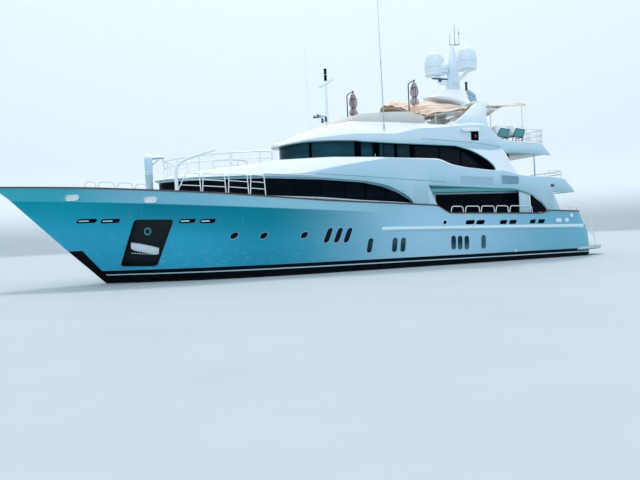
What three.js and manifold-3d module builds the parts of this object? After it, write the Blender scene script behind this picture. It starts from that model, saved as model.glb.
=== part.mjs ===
// Motor yacht, tri-deck, 44.8 m long as the real ship, built here as a 1:2 scale model of 22.4 m.
// Axes: +X forward, +Y port, +Z up. The origin lies amidships on the centreline, at the waterline.
// Every size below is in metres of the real ship. MODEL turns them into millimetres of the model.
import * as THREE from 'three';
import { mergeVertices } from 'three/addons/utils/BufferGeometryUtils.js';
import Module from 'manifold-3d';

const wasm = await Module();
wasm.setup();

const MODEL = 500;        // millimetres of the model for one metre of the ship, 1:2
const SEAM = 0.0008;      // gap kept between neighbours, 0.4 mm on the model
const CLEAR = 0.014;      // gap kept round moving panels, 7 mm on the model

// Hull
const STEM_FOOT = 15.76;          // x of the stem at the waterline
const STEM_RAKE = 1.03;           // x gained for each metre of height along the stem
const STEM_HALF = 0.05;           // half thickness of the stem
const TRANSOM_WL = -20.70;        // x of the transom at the waterline
const TRANSOM_TOP = -19.62;       // x of the transom at the bulwark top
const BULWARK_THICK = 0.16;
const DECK_AFT = 2.75;            // main deck level from the saloon aft
const DECK_STEP = -5.2;           // x of the step up to the raised foredeck, inside the house
const CAP_HEIGHT = 0.06;
const CAP_WIDTH = 0.22;
const CAP_LIP = 0.04;             // how far the cap's edge hangs over the bulwark's side

// Running gear under the hull
const SHAFT_Y = 1.95;
const SHAFT_Z = -2.0;
const SHAFT_RADIUS = 0.09;
const PROP_X = -16.9;
const PROP_RADIUS = 0.74;
const PROP_BLADES = 5;
const RUDDER_X = -18.35;
const FIN_X = 0.6;
const FIN_ROOT = [3.3, -1.47];    // y, z of the fin shaft where it leaves the bilge

// Decks and houses
const HOUSE_WALL = 0.12;
const PANE = 0.045;               // thickness of the glass let into the walls
const ROOF_UNDER = 6.52;          // underside of the deck over the forward house
const UPPER_AFT = 5.42;           // upper deck level from the saloon roof aft
const UPPER_AFT_UNDER = 5.17;
const UPPER_FWD = 6.78;           // upper deck level round the wheelhouse
const SUN_FWD = 9.30;             // sun deck level forward of the arch
const SUN_AFT = 8.25;             // sun deck level aft of the arch
const PLATE = 0.13;               // thickness of the side plates

// Paints and metals: colour, roughness, metalness
const FINISH = {
  hull: [0xeef3f5, 0.22, 0],
  white: [0xf4f5f6, 0.28, 0],
  cap: [0x3d2418, 0.35, 0],
  glass: [0x0d1a20, 0.06, 0],
  smoked: [0x7d8480, 0.1, 0],
  steel: [0xc9cdd1, 0.2, 1],
  bronze: [0xb08a4a, 0.35, 1],
  antifoul: [0x16181c, 0.6, 0],
  canvas: [0xd9b592, 0.9, 0],
  sand: [0xe3cdb0, 0.9, 0],
  cloth: [0xa9a39c, 0.9, 0],
  dark: [0x1c1f22, 0.5, 0],
};

const yacht = new THREE.Group();
yacht.name = 'motor_yacht';

// Smooth curve through rows of [x, value], with x rising
function curve(...rows) {
  const slope = rows.map((row, i) => {
    const a = rows[Math.max(i - 1, 0)];
    const b = rows[Math.min(i + 1, rows.length - 1)];
    return (b[1] - a[1]) / (b[0] - a[0]);
  });
  return (x) => {
    if (x <= rows[0][0]) return rows[0][1];
    const last = rows.length - 1;
    if (x >= rows[last][0]) return rows[last][1];
    const i = rows.findIndex((row) => row[0] > x) - 1;
    const span = rows[i + 1][0] - rows[i][0];
    const t = (x - rows[i][0]) / span;
    const rise = t * t * (3 - 2 * t);
    const start = t * (1 - t) * (1 - t) * span * slope[i];
    const end = -t * t * (1 - t) * span * slope[i + 1];
    return rows[i][1] * (1 - rise) + rows[i + 1][1] * rise + start + end;
  };
}

// Straight lines through rows of [x, value], with x rising
function line(...rows) {
  return (x) => {
    if (x <= rows[0][0]) return rows[0][1];
    const last = rows.length - 1;
    if (x >= rows[last][0]) return rows[last][1];
    const i = rows.findIndex((row) => row[0] > x) - 1;
    const t = (x - rows[i][0]) / (rows[i + 1][0] - rows[i][0]);
    return rows[i][1] * (1 - t) + rows[i + 1][1] * t;
  };
}

// Geometry from a list of points and triangles
function shell(points, triangles) {
  const geometry = new THREE.BufferGeometry();
  geometry.setAttribute('position', new THREE.Float32BufferAttribute(points.flat(), 3));
  geometry.setIndex(triangles.flat());
  return geometry;
}

// Body through like rings of points. Its ends are filled flat, or by rungs from side to side
// where the ring is mirrored about its first point, or it closes on itself.
function loft(rings, ends = 'flat') {
  const n = rings[0].length;
  const triangles = [];
  const bands = ends === 'closed' ? rings.length : rings.length - 1;
  for (let r = 0; r < bands; r += 1) {
    const next = ((r + 1) % rings.length) * n;
    for (let i = 0; i < n; i += 1) {
      const j = (i + 1) % n;
      const [a, b, c, d] = [r * n + i, r * n + j, next + j, next + i];
      triangles.push(...(ends === 'rungs' && i > n / 2 - 1 ? [[a, b, d], [b, c, d]]
        : [[a, b, c], [a, c, d]]));
    }
  }
  if (ends !== 'closed') {
    for (const [base, flip] of [[0, true], [(rings.length - 1) * n, false]]) {
      for (const [i, j, k] of ends === 'flat' ? endFaces(rings[base / n]) : rungs(n)) {
        triangles.push(flip ? [base + i, base + k, base + j] : [base + i, base + j, base + k]);
      }
    }
  }
  return shell(rings.flat(), triangles);
}

function rungs(n) {
  const faces = [[0, 1, n - 1]];
  for (let i = 1; i < (n - 1) / 2; i += 1) faces.push([i, i + 1, n - i - 1], [i, n - i - 1, n - i]);
  return faces;
}

// Triangles that fill one ring, wound as the ring is
function endFaces(ring) {
  const area = new THREE.Vector3();
  const [p, q] = [new THREE.Vector3(), new THREE.Vector3()];
  ring.forEach((point, i) => {
    p.fromArray(point);
    q.fromArray(ring[(i + 1) % ring.length]);
    area.add(p.cross(q));
  });
  const drop = ['x', 'y', 'z'].reduce((m, k) => (Math.abs(area[k]) > Math.abs(area[m]) ? k : m), 'x');
  const [u, v] = { x: [1, 2], y: [2, 0], z: [0, 1] }[drop];
  const flat = ring.map((point) => new THREE.Vector2(point[u], point[v]));
  const clockwise = THREE.ShapeUtils.area(flat) < 0;
  const faces = THREE.ShapeUtils.triangulateShape(flat, []);
  const wound = (f) => THREE.ShapeUtils.area([flat[f[0]], flat[f[1]], flat[f[2]]]) < 0;
  return faces.map((f) => (wound(f) === clockwise ? f : [f[0], f[2], f[1]]));
}

// Closed body of a geometry, its shared corners merged and its faces turned to point out
function solid(geometry) {
  const bare = geometry.clone();
  for (const name of Object.keys(bare.attributes)) {
    if (name !== 'position') bare.deleteAttribute(name);
  }
  const merged = mergeVertices(bare, 1e-5);
  const faces = [];
  const index = merged.index.array;
  const corner = (i) => new THREE.Vector3().fromBufferAttribute(merged.attributes.position, i);
  let volume = 0;
  for (let i = 0; i < index.length; i += 3) {
    const [a, b, c] = [index[i], index[i + 1], index[i + 2]];
    if (a !== b && b !== c && c !== a) {
      faces.push([a, b, c]);
      volume += corner(a).dot(corner(b).cross(corner(c)));
    }
  }
  const kept = faces.flatMap(([a, b, c]) => (volume < 0 ? [a, c, b] : [a, b, c]));
  return new wasm.Manifold(new wasm.Mesh({
    numProp: 3,
    vertProperties: new Float32Array(merged.attributes.position.array),
    triVerts: new Uint32Array(kept),
  }));
}

// Joins and cuts
function join(first, ...others) {
  return others.reduce((sum, other) => sum.add(other), first);
}

function cut(body, ...tools) {
  return tools.reduce((rest, tool) => rest.subtract(tool), body);
}

// Largest of the bodies that a cut has left
const largest = (body) => body.decompose().reduce((a, b) => (a.volume() > b.volume() ? a : b));

function block(x0, x1, y0, y1, z0, z1) {
  const box = new THREE.BoxGeometry(x1 - x0, y1 - y0, z1 - z0);
  return solid(box.translate((x0 + x1) / 2, (y0 + y1) / 2, (z0 + z1) / 2));
}

// Bar along straight stretches between points, mitred at its bends, round as far as its sides go
function bentBar(points, radius, sides = 4, endRadius = radius) {
  const at = points.map((point) => new THREE.Vector3(...point));
  const legs = at.slice(1).map((point, i) => point.clone().sub(at[i]).normalize());
  const helper = Math.abs(legs[0].z) > 0.9 ? new THREE.Vector3(1, 0, 0) : new THREE.Vector3(0, 0, 1);
  const right = new THREE.Vector3().crossVectors(legs[0], helper).normalize();
  return solid(loft(at.map((point, i) => {
    const along = legs[Math.max(i - 1, 0)].clone().add(legs[Math.min(i, legs.length - 1)]).normalize();
    right.addScaledVector(along, -right.dot(along)).normalize();
    const up = new THREE.Vector3().crossVectors(right, along);
    const r = THREE.MathUtils.lerp(radius, endRadius, i / (at.length - 1));
    return Array.from({ length: sides }, (_, k) => {
      const turn = (2 * Math.PI * (k + 0.5)) / sides;
      return point.clone().addScaledVector(right, r * Math.cos(turn))
        .addScaledVector(up, r * Math.sin(turn)).toArray();
    });
  })));
}

const rod = (from, to, radius, sides = 4, endRadius = radius) =>
  bentBar([from, to], radius, sides, endRadius);

// Turned body about the Z axis through [x, y], from rows of [radius, z]
function turned(x, y, rows, sides = 12) {
  const profile = rows.map(([r, z]) => new THREE.Vector2(r, z));
  return solid(new THREE.LatheGeometry(profile, sides).rotateX(Math.PI / 2).translate(x, y, 0));
}

const mirrored = (body) => body.mirror([0, 1, 0]);

// Adds one named piece to the yacht
function add(name, body, finish) {
  const mesh = body.getMesh();
  const geometry = new THREE.BufferGeometry();
  const corners = new Float32Array(mesh.vertProperties.length);
  for (let i = 0; i < corners.length; i += 1) corners[i] = mesh.vertProperties[i] * MODEL;
  geometry.setAttribute('position', new THREE.BufferAttribute(corners, 3));
  geometry.setIndex(new THREE.BufferAttribute(new Uint32Array(mesh.triVerts), 1));
  const [color, roughness, metalness] = FINISH[finish];
  const piece = new THREE.Mesh(geometry,
    new THREE.MeshStandardMaterial({ color, roughness, metalness }));
  piece.name = name;
  yacht.add(piece);
}

// Hull lines, each as a function of x
const stemX = (z) => STEM_FOOT + STEM_RAKE * z;
const sheerZ = line([-19.62, 3.47], [-16.25, 3.62], [-15.6, 3.42], [-7.3, 3.68], [-6.45, 4.24],
  [-4.2, 4.4], [1.8, 4.78], [9.1, 5.42], [13.3, 5.72], [16.7, 5.97], [22.2, 6.3]);
const keelZ = curve([-20.2, -0.72], [-16, -1.0], [-10, -1.6], [-4, -2.0], [6, -2.1], [11, -1.85],
  [13.9, -1.1]);
const bow = (x, nose, full, power) => {
  const t = THREE.MathUtils.clamp((nose - x) / (nose - full), 0, 1);
  return 1 - (1 - t) ** power;
};
const quarter = (x, end) => {
  const t = THREE.MathUtils.clamp((end + 0.9 - x) / 0.9, 0, 1);
  return 0.62 * (1 - Math.sqrt(1 - t * t));
};
const stern = (x, b, drop) => b - drop * Math.max(0, (-8 - x) / 12) ** 1.6;
const sheerB = (x) => stern(x, 4.62, 0.32) * bow(x, 22.22, 3, 3) - quarter(x, TRANSOM_TOP);
const waterB = (x) => stern(x, 4.38, 0.35) * bow(x, STEM_FOOT, 1, 2.4) - quarter(x, TRANSOM_WL);

// Level lines of the hull: x aft, x at the stem, height and half breadth along it
const LEVELS = [
  { aft: -20.2, stem: 14.35, z: (x) => keelZ(x) * 0.86, b: (x) => waterB(x * 1.04) * 0.6 },
  { aft: -20.5, stem: 15.05, z: (x) => keelZ(x) * 0.5, b: (x) => waterB(x * 1.02) * 0.93 },
  { aft: TRANSOM_WL, stem: STEM_FOOT, z: () => 0, b: waterB },
  { aft: -20.68, stem: stemX(1.0), z: () => 1.0,
    b: (x) => stern(x, 4.46, 0.34) * bow(x, stemX(1.0), 1.2, 2.45) - quarter(x, -20.68) },
  { aft: -20.4, stem: stemX(2.3), z: () => 2.3,
    b: (x) => stern(x, 4.52, 0.33) * bow(x, stemX(2.3), 1.6, 2.55) - quarter(x, -20.4) },
  { aft: -20.05, stem: stemX(5.42), z: (x) => sheerZ(x) - 0.68,
    b: (x) => stern(x, 4.56, 0.32) * bow(x, stemX(5.42), 2.4, 2.8) - quarter(x, -20.05) },
  { aft: TRANSOM_TOP, stem: stemX(6.28), z: sheerZ, b: sheerB },
];
const SHEER_LENGTH = stemX(6.28) - TRANSOM_TOP;
const STATIONS = [-19.62, -19.47, -19.25, -18.95, -18.65, -17.2, -16.25, -15.6, -11.6, -7.3, -6.45, -4.2,
  -2, 1.8, 4, 6.5, 9.1, 11.3, 13.3, 15.2, 16.7, 18.4, 19.8, 20.9, 21.7, 22.22]
  .map((x) => (x - TRANSOM_TOP) / SHEER_LENGTH);

// Half breadth of the hull side at a place
function hullSide(x, z) {
  const rows = LEVELS.map((level) => [level.z(x), x > level.stem ? 0 : Math.max(level.b(x), 0)]);
  return line(...rows)(z);
}

// Whole hull up to the bulwark top, made wider and longer by grow
function hullBody(grow = 0) {
  return solid(loft(STATIONS.map((u) => {
    const shift = grow * (2 * u - 1);
    const side = LEVELS.map((level) => {
      const x = level.aft + (level.stem - level.aft) * u;
      const z = level.z(x);
      return [x + shift, Math.max(level.b(x), STEM_HALF) + grow, z < 0 ? z - grow : z];
    });
    const keel = -20.2 + 34.1 * u;
    return [[keel + shift, 0, keelZ(keel) - grow], ...side,
      ...side.toReversed().map(([x, y, z]) => [x, -y, z])];
  }), 'rungs'));
}

const deckZ = (x) => (x < DECK_STEP ? DECK_AFT
  : line([-5.2, 3.5], [0, 3.9], [6, 4.4], [12, 4.85], [21, 5.3])(x));
const innerB = (x, z) => Math.max(hullSide(x, z) - BULWARK_THICK, 0.03);

// Body along the deck, from rows of x; ring gives the corners at each
const DECK_ROWS = [-21.2, -19.44, -19.4, -19.25, -19.0, -18.72, -17, -14, -8, DECK_STEP - 0.05,
  DECK_STEP, -2, 2, 6, 9, 12, 14, 16, 18, 19.5, 20.5, 20.9, 23.5];
const deckBody = (ring, from = -99, to = 99) => solid(loft(
  DECK_ROWS.filter((x) => x >= from && x <= to).map(ring)));

// Space above the main deck, inside the bulwarks
const SPACE_TOP = 8;
const deckSpace = deckBody((x) => {
  const z = deckZ(x);
  const low = innerB(x, z);
  const high = low + ((innerB(x, sheerZ(x)) - low) * (SPACE_TOP - z)) / (sheerZ(x) - z);
  return [[x, low, z], [x, high, SPACE_TOP], [x, -high, SPACE_TOP], [x, -low, z]];
}, -19.44, 20.9);

// Pocket in the bow for the anchor: its corners as x, z, and how deep it goes
const POCKET = [[14.3, 4.0], [11.95, 3.9], [12.95, 1.05], [15.05, 1.15]];
const POCKET_DEPTH = 0.34;
function pocket(side) {
  const corners = (out) => POCKET.map(([x, z]) => {
    const y = hullSide(x, z);
    return [x + 0.3 * out, side * (y + out), z - 0.35 * out];
  });
  return solid(loft([corners(0.35), corners(-POCKET_DEPTH)]));
}

// Long rub rail moulded on the quarter: from x, to x, height of its middle at both
const RUB = { fore: -2.0, aft: -19.7, foreZ: 2.86, aftZ: 2.56, half: 0.13, depth: 0.1 };
function rubRail(side) {
  const steps = 10;
  return solid(loft(Array.from({ length: steps + 1 }, (_, i) => {
    const x = THREE.MathUtils.lerp(RUB.fore, RUB.aft, i / steps);
    const z = THREE.MathUtils.lerp(RUB.foreZ, RUB.aftZ, i / steps);
    const y = hullSide(x, z);
    const out = i === 0 ? 0.01 : RUB.depth;
    return [[x, side * (y - 0.12), z - RUB.half], [x, side * (y + 0.02), z - RUB.half],
      [x, side * (y + out), z - RUB.half * 0.6], [x, side * (y + out), z + RUB.half * 0.5],
      [x, side * (y + 0.02), z + RUB.half], [x, side * (y - 0.12), z + RUB.half]];
  })));
}

// Door in the transom: its foot and head as x, z, its half width and the radius of its hinge
const LID = { foot: [-20.667, 1.06], head: [-20.443, 2.1], half: 1.7, thick: 0.1, hinge: 0.03 };
const lidX = (z) => THREE.MathUtils.mapLinear(z, LID.foot[1], LID.head[1], LID.foot[0], LID.head[0]);
function lidBlock(low, high, half, out, depth) {
  return solid(loft([-half, half].map((y) => [[lidX(low) + out, y, low], [lidX(low) + depth, y, low],
    [lidX(high) + depth, y, high], [lidX(high) + out, y, high]])));
}
const LID_AXIS_Z = LID.head[1] - LID.hinge - SEAM;
const LID_AXIS_X = lidX(LID_AXIS_Z) + LID.hinge;

const wholeHull = hullBody();
const grownHull = hullBody(SEAM);
const skeg = solid(loft([[-13.4, -1.55], [-12.6, -2.32], [-5, -2.32], [-3.4, -2.02]].map(([x, z]) =>
  [[x, 0.14, -1.2], [x, 0.09, z], [x, -0.09, z], [x, -0.14, -1.2]])));
const hullWithDeck = cut(wholeHull, deckSpace);
const bulwarkZone = (side) => deckBody((x) => [[x, side * SEAM, deckZ(x) + SEAM],
  [x, side * 6, deckZ(x) + SEAM], [x, side * 6, SPACE_TOP], [x, side * SEAM, SPACE_TOP]]);
const lowerZone = deckBody((x) => [[x, 6, -4], [x, 6, deckZ(x)], [x, -6, deckZ(x)], [x, -6, -4]]);

// Seats of the rudders and fins: flat ended bosses on the bottom
const RUDDER_SEAT = -1.14;
const rudderBoss = turned(RUDDER_X, SHAFT_Y, [[0, -0.6], [0.16, -0.6], [0.13, RUDDER_SEAT],
  [0, RUDDER_SEAT]], 10);
const FIN_AXIS = new THREE.Vector3(0, 0.46, -0.888).normalize();
const finPoint = (s) => [FIN_X, FIN_ROOT[0] + FIN_AXIS.y * s, FIN_ROOT[1] + FIN_AXIS.z * s];
const finBoss = rod(finPoint(-0.4), finPoint(0.04), 0.17, 10);

// Sockets on the foredeck for the crane and the davit
const CRANE = { x: 12.4, y: -2.35, foot: 4.7, seat: 4.98, seam: 7.26, head: 8.6 };
const craneSocket = turned(CRANE.x, CRANE.y, [[0, CRANE.foot], [0.44, CRANE.foot], [0.44, CRANE.seat],
  [0, CRANE.seat]], 12);
const DAVIT = { x: 11.55, y: 3.05, foot: 4.7, seat: 5.0 };
const davitSocket = turned(DAVIT.x, DAVIT.y, [[0, DAVIT.foot], [0.2, DAVIT.foot], [0.16, DAVIT.seat],
  [0, DAVIT.seat]], 10);

const hullSolid = cut(join(hullWithDeck.intersect(lowerZone), skeg, rubRail(1).intersect(lowerZone),
  rubRail(-1).intersect(lowerZone), rudderBoss, mirrored(rudderBoss), finBoss, mirrored(finBoss),
  davitSocket, craneSocket), pocket(1), pocket(-1),
lidBlock(LID.foot[1], LID.head[1], LID.half, -0.4, LID.thick + 0.03));
add('hull', hullSolid, 'hull');
for (const [name, side] of [['port', 1], ['starboard', -1]]) {
  add(`bulwark_${name}`, join(hullWithDeck, rubRail(side)).intersect(bulwarkZone(side)), 'hull');
}
const lidKnuckle = (y) => rod([LID_AXIS_X, y, LID_AXIS_Z], [LID_AXIS_X, y + 0.3, LID_AXIS_Z],
  LID.hinge, 10);
add('transom_door', join(
  lidBlock(LID.foot[1] + CLEAR, LID_AXIS_Z, LID.half - CLEAR, 0, LID.thick),
  lidKnuckle(-1.35), lidKnuckle(1.05)), 'hull');

// Swim platform, wrapped round the foot of the stern
const PLATFORM = { top: 0.74, under: 0.46 };
const platformB = line([-22.6, 2.3], [-22.45, 2.95], [-22.1, 3.45], [-21.2, 3.95], [-20, 4.25],
  [-19.4, 4.36], [-19.15, 4.3], [-19.05, 4.1]);
const platform = solid(loft([-22.6, -22.45, -22.1, -21.2, -20, -19.4, -19.15, -19.05].map((x) => {
  const b = platformB(x);
  return [[x, b - 0.08, PLATFORM.under], [x, b, PLATFORM.under + 0.08], [x, b, PLATFORM.top],
    [x, -b, PLATFORM.top], [x, -b, PLATFORM.under + 0.08], [x, -b + 0.08, PLATFORM.under]];
})));
const gangwayPad = block(-22.35, -21.85, -0.4, 0.4, PLATFORM.top - 0.05, PLATFORM.top + 0.03);
add('swim_platform', join(cut(platform, grownHull), gangwayPad), 'white');

// Cap rail on the bulwark, all round, and the stainless hoops that stand on it
const capX = STATIONS.slice(0, -1).map((u) => TRANSOM_TOP + SHEER_LENGTH * u);
const capPort = capX.map((x) => [Math.max(x, TRANSOM_TOP + 0.09), Math.max(sheerB(x) - 0.08, 0.1),
  sheerZ(x)]);
const capPath = [...capPort, [22.14, 0, sheerZ(22.14)],
  ...capPort.toReversed().map(([x, y, z]) => [x, -y, z])];
const capSections = capPath.map((point, i) => {
  const before = capPath[(i + capPath.length - 1) % capPath.length];
  const after = capPath[(i + 1) % capPath.length];
  const along = new THREE.Vector2(after[0] - before[0], after[1] - before[1]).normalize();
  const at = (out, up) => [point[0] - along.y * out, point[1] + along.x * out, point[2] + up];
  const w = CAP_WIDTH / 2;
  return [at(w, -CAP_LIP), at(w, CAP_HEIGHT), at(-w, CAP_HEIGHT), at(-w, -CAP_LIP)];
});
const RAIL = 0.027;
const onCap = (x, side, up) => [x, side * (sheerB(x) - 0.08), sheerZ(x) + up];

// Hoops: x of the fore foot, x of the aft foot, slant of the fore foot, height, number of bars
const HOOPS = [
  [17.05, 16.4, 0.12, 0.34, 1], [16.3, 15.3, 0.12, 0.34, 1], [15.2, 14.3, 0.12, 0.33, 1],
  [14.2, 13.5, 0.12, 0.3, 1],
  [11.7, 10.3, 0.55, 1.12, 3], [10.2, 8.75, 0.08, 1.14, 3], [8.6, 7.3, 0.08, 1.2, 3],
  [7.2, 6.2, 0.08, 1.25, 3],
  [-7.5, -8.55, 0.12, 0.55, 1], [-8.7, -9.95, 0.1, 0.58, 1], [-10.05, -11.25, 0.1, 0.6, 1],
  [-11.35, -12.5, 0.1, 0.62, 1], [-12.6, -14.7, 0.1, 0.63, 1],
  [-17.5, -18.4, 0.1, 0.3, 1], [-18.5, -19.2, 0.1, 0.28, 1],
];
function hoop([fore, aft, slant, height, bars], side) {
  const foot = CAP_HEIGHT - 0.03;
  const top = CAP_HEIGHT + height;
  const parts = [bentBar([onCap(fore, side, foot), onCap(fore - slant, side, top),
    onCap(aft + 0.06, side, top), onCap(aft, side, foot)], RAIL)];
  for (let i = 1; i < bars; i += 1) {
    const share = i / bars;
    parts.push(rod(onCap(fore - slant * share, side, foot + height * share),
      onCap(aft + 0.02, side, foot + height * share), RAIL * 0.8));
  }
  return join(...parts);
}
const capBody = cut(solid(loft(capSections, 'closed')), hullBody(2 * SEAM).translate([0, 0, SEAM]));
add('cap_rail', join(capBody,
  ...[1, -1].flatMap((side) => HOOPS.map((row) => hoop(row, side)))), 'cap');

// Shafts with their brackets, propellers, rudders and stabiliser fins
const SHAFT_DIR = new THREE.Vector3(-7.9, 0, -0.62).normalize();
const onShaft = (s) => [PROP_X - SHAFT_DIR.x * s, SHAFT_Y, SHAFT_Z - SHAFT_DIR.z * s];
const SHAFT_END = 0.26;           // distance of the shaft's end ahead of the propeller's middle
const strut = (y, z) => rod(onShaft(0.62), [PROP_X + 0.75, y, z], 0.07, 6);
const shaft = cut(join(rod(onShaft(SHAFT_END), onShaft(8.6), SHAFT_RADIUS, 8),
  rod(onShaft(SHAFT_END + 0.05), onShaft(0.95), 0.17, 8), strut(1.25, -0.6), strut(2.75, -0.6)),
grownHull);

// Blade sections: radius, chord, thickness
const BLADE = [[0.1, 0.26, 0.06], [0.36, 0.44, 0.045], [0.6, 0.4, 0.03], [PROP_RADIUS, 0.14, 0.015]];
const PROP_PITCH = 1.15;
function propeller(hand) {
  const hub = solid(new THREE.LatheGeometry([[0, -0.3], [0.07, -0.26], [0.16, -0.05],
    [0.17, SHAFT_END - SEAM], [0, SHAFT_END - SEAM]].map(([r, z]) => new THREE.Vector2(r, z)), 10)
    .rotateZ(-Math.PI / 2));
  const angle = hand * Math.atan(PROP_PITCH / (2 * Math.PI * 0.7 * PROP_RADIUS));
  const blades = Array.from({ length: PROP_BLADES }, (_, i) => {
    const rings = BLADE.map(([r, chord, thick]) => {
      const corner = (s, t) => [s * Math.sin(angle) + t * Math.cos(angle),
        s * Math.cos(angle) - t * Math.sin(angle), r];
      return [corner(-chord / 2, 0), corner(0, thick / 2), corner(chord / 2, 0), corner(0, -thick / 2)];
    });
    return solid(loft(rings).rotateX((2 * Math.PI * i) / PROP_BLADES));
  });
  const tilt = Math.atan2(SHAFT_DIR.z, SHAFT_DIR.x) * 180 / Math.PI + 180;
  return join(hub, ...blades).rotate([0, -tilt, 0]).translate([PROP_X, SHAFT_Y, SHAFT_Z]);
}

// Rudder: rows of height, x of the fore edge, x of the aft edge, thickness
const RUDDER = [[RUDDER_SEAT - 0.05, 0.42, -0.6, 0.13], [-2.62, 0.3, -0.5, 0.08]];
const rudder = join(
  solid(loft(RUDDER.map(([z, fore, aft, thick]) => [
    [RUDDER_X + fore, SHAFT_Y, z], [RUDDER_X + fore - 0.15, SHAFT_Y + thick / 2, z],
    [RUDDER_X + aft, SHAFT_Y + 0.01, z], [RUDDER_X + aft, SHAFT_Y - 0.01, z],
    [RUDDER_X + fore - 0.15, SHAFT_Y - thick / 2, z]]))),
  turned(RUDDER_X, SHAFT_Y, [[0, -1.6], [0.085, -1.6], [0.085, RUDDER_SEAT - SEAM],
    [0, RUDDER_SEAT - SEAM]], 8));

// Fin: rows of distance from the root, x of the fore edge, x of the aft edge, thickness
const FIN = [[0.08, 0.5, -0.75, 0.15], [1.15, 0.2, -0.65, 0.06]];
const finRing = ([s, fore, aft, thick]) => {
  const [, y, z] = finPoint(s);
  const across = (t) => [FIN_AXIS.z * -t, FIN_AXIS.y * t];
  const corner = (x, t) => [FIN_X + x, y + across(t)[0], z + across(t)[1]];
  return [corner(fore, 0), corner(fore - 0.2, thick / 2), corner(aft, 0.008), corner(aft, -0.008),
    corner(fore - 0.2, -thick / 2)];
};
const fin = join(solid(loft(FIN.map(finRing))), rod(finPoint(0.04 + SEAM), finPoint(0.3), 0.075, 8));

for (const [name, side] of [['port', 1], ['starboard', -1]]) {
  const place = (body) => (side > 0 ? body : mirrored(body));
  add(`shaft_${name}`, place(shaft), 'antifoul');
  add(`propeller_${name}`, place(propeller(1)), 'bronze');
  add(`rudder_${name}`, place(rudder), 'antifoul');
  add(`stabiliser_fin_${name}`, place(fin), 'antifoul');
}

// Upright prism of an outline given as x, z, from side to side between two values of y
const prism = (outline, y0, y1) => solid(loft([y0, y1].map((y) => outline.map(([x, z]) => [x, y, z]))));

// Whole outline in plan from its port half, given as x, y from aft to the bow
const bothSides = (half) => [...half, ...half.toReversed().filter(([, y]) => y > 0.001)
  .map(([x, y]) => [x, -y])];

// Outline moved inwards by a distance, or outwards by a negative one
function inset(outline, distance) {
  const plan = outline.map(([x, y]) => new THREE.Vector2(x, y));
  const inward = THREE.ShapeUtils.area(plan) > 0 ? distance : -distance;
  return plan.map((point, i) => {
    const before = point.clone().sub(plan[(i + plan.length - 1) % plan.length]).normalize();
    const after = plan[(i + 1) % plan.length].clone().sub(point).normalize();
    const normal = new THREE.Vector2(-before.y - after.y, before.x + after.x).normalize();
    const reach = inward / Math.max(normal.dot(new THREE.Vector2(-before.y, before.x)), 0.35);
    return [point.x + normal.x * reach, point.y + normal.y * reach];
  });
}

// Column over an outline, between two heights that may follow x
const column = (outline, low, high) => solid(loft([low, high].map((z) =>
  outline.map(([x, y]) => [x, y, typeof z === 'function' ? z(x) : z]))));

// Main deck house, from the saloon forward: port half of its outline
const HOUSE = bothSides([[-5.05, 4.2], [-2, 4.12], [2, 3.92], [6, 3.5], [8.5, 2.95], [10.2, 2.3],
  [11.3, 1.6], [11.95, 0.8], [12.15, 0]]);
const HOUSE_BAND = [[12.6, 6.4], [5.8, 6.4], [2.0, 6.22], [-0.9, 5.98], [-2.4, 5.66], [-3.5, 5.22],
  [-4.4, 4.68], [-4.6, 4.5], [-0.8, 4.78], [2.1, 5.05], [6.3, 5.3], [12.6, 5.55]];
const HOUSE_MULLIONS = [10.4, 8.3, 6.1, 4.02, 2.14, 0.41, -1.07, -2.6];
const MULLION = 0.09;

// Walls over an outline with a band of glass let into them, and the pane that fills the band
function glazedWalls(outline, low, high, band, mullions, doorway) {
  const wall = cut(column(outline, low, high),
    column(inset(outline, HOUSE_WALL), (x) => (typeof low === 'function' ? low(x) : low) - 0.5, high + 1));
  const strip = prism(band, -6, 6);
  const skin = cut(column(inset(outline, -0.2), 2, 12), column(inset(outline, PANE), 1, 13));
  const lights = cut(strip, ...mullions.map((x) => block(x - MULLION, x + MULLION, -6, 6, 2, 12)),
    block(11, 13, -0.08, 0.08, 2, 12), block(2.6, 4, -0.08, 0.08, 7, 12));
  const walls = cut(wall, strip.intersect(skin), lights, ...doorway);
  const pane = cut(column(inset(outline, 0.004), 2, 12), column(inset(outline, PANE - SEAM), 1, 13));
  const inner = prism(inset(band, SEAM), -6, 6);
  return [walls, cut(pane.intersect(inner), ...doorway)];
}
const [houseWalls, houseGlass] = glazedWalls(HOUSE, 2.6, ROOF_UNDER - SEAM, HOUSE_BAND,
  HOUSE_MULLIONS, []);
const onMainDeck = lowerZone.translate([0, 0, SEAM]);
add('main_house_walls', cut(houseWalls, onMainDeck), 'white');
add('main_house_glass', houseGlass, 'glass');

// Saloon between the side decks, with its sliding doors to the aft deck
const SALOON = bothSides([[-15.0, 3.4], [-5.2, 3.4]]);
const SALOON_BAND = [[-14.3, 3.35], [-7.0, 3.35], [-7.0, 5.06], [-14.3, 5.06]];
const DOOR = { half: 0.95, sill: DECK_AFT + 0.05, head: 4.85, thick: 0.05 };
const [saloonWalls, saloonGlass] = glazedWalls(SALOON, 2.6, UPPER_AFT_UNDER - SEAM, SALOON_BAND,
  [-9.4, -11.9], [block(-15.5, -14.5, -DOOR.half + 0.08, DOOR.half - 0.08, DOOR.sill, DOOR.head - 0.06)]);
add('saloon_walls', cut(saloonWalls, onMainDeck), 'white');
const doorFace = -15.0 - CLEAR;
const saloonDoor = join(block(doorFace - DOOR.thick, doorFace, CLEAR / 2, DOOR.half, DOOR.sill, DOOR.head),
  ...[0.15, 0.8].map((y) => rod([doorFace - DOOR.thick / 2, y, DECK_AFT + SEAM],
    [doorFace - DOOR.thick / 2, y, DOOR.sill + 0.02], 0.02)));

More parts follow.
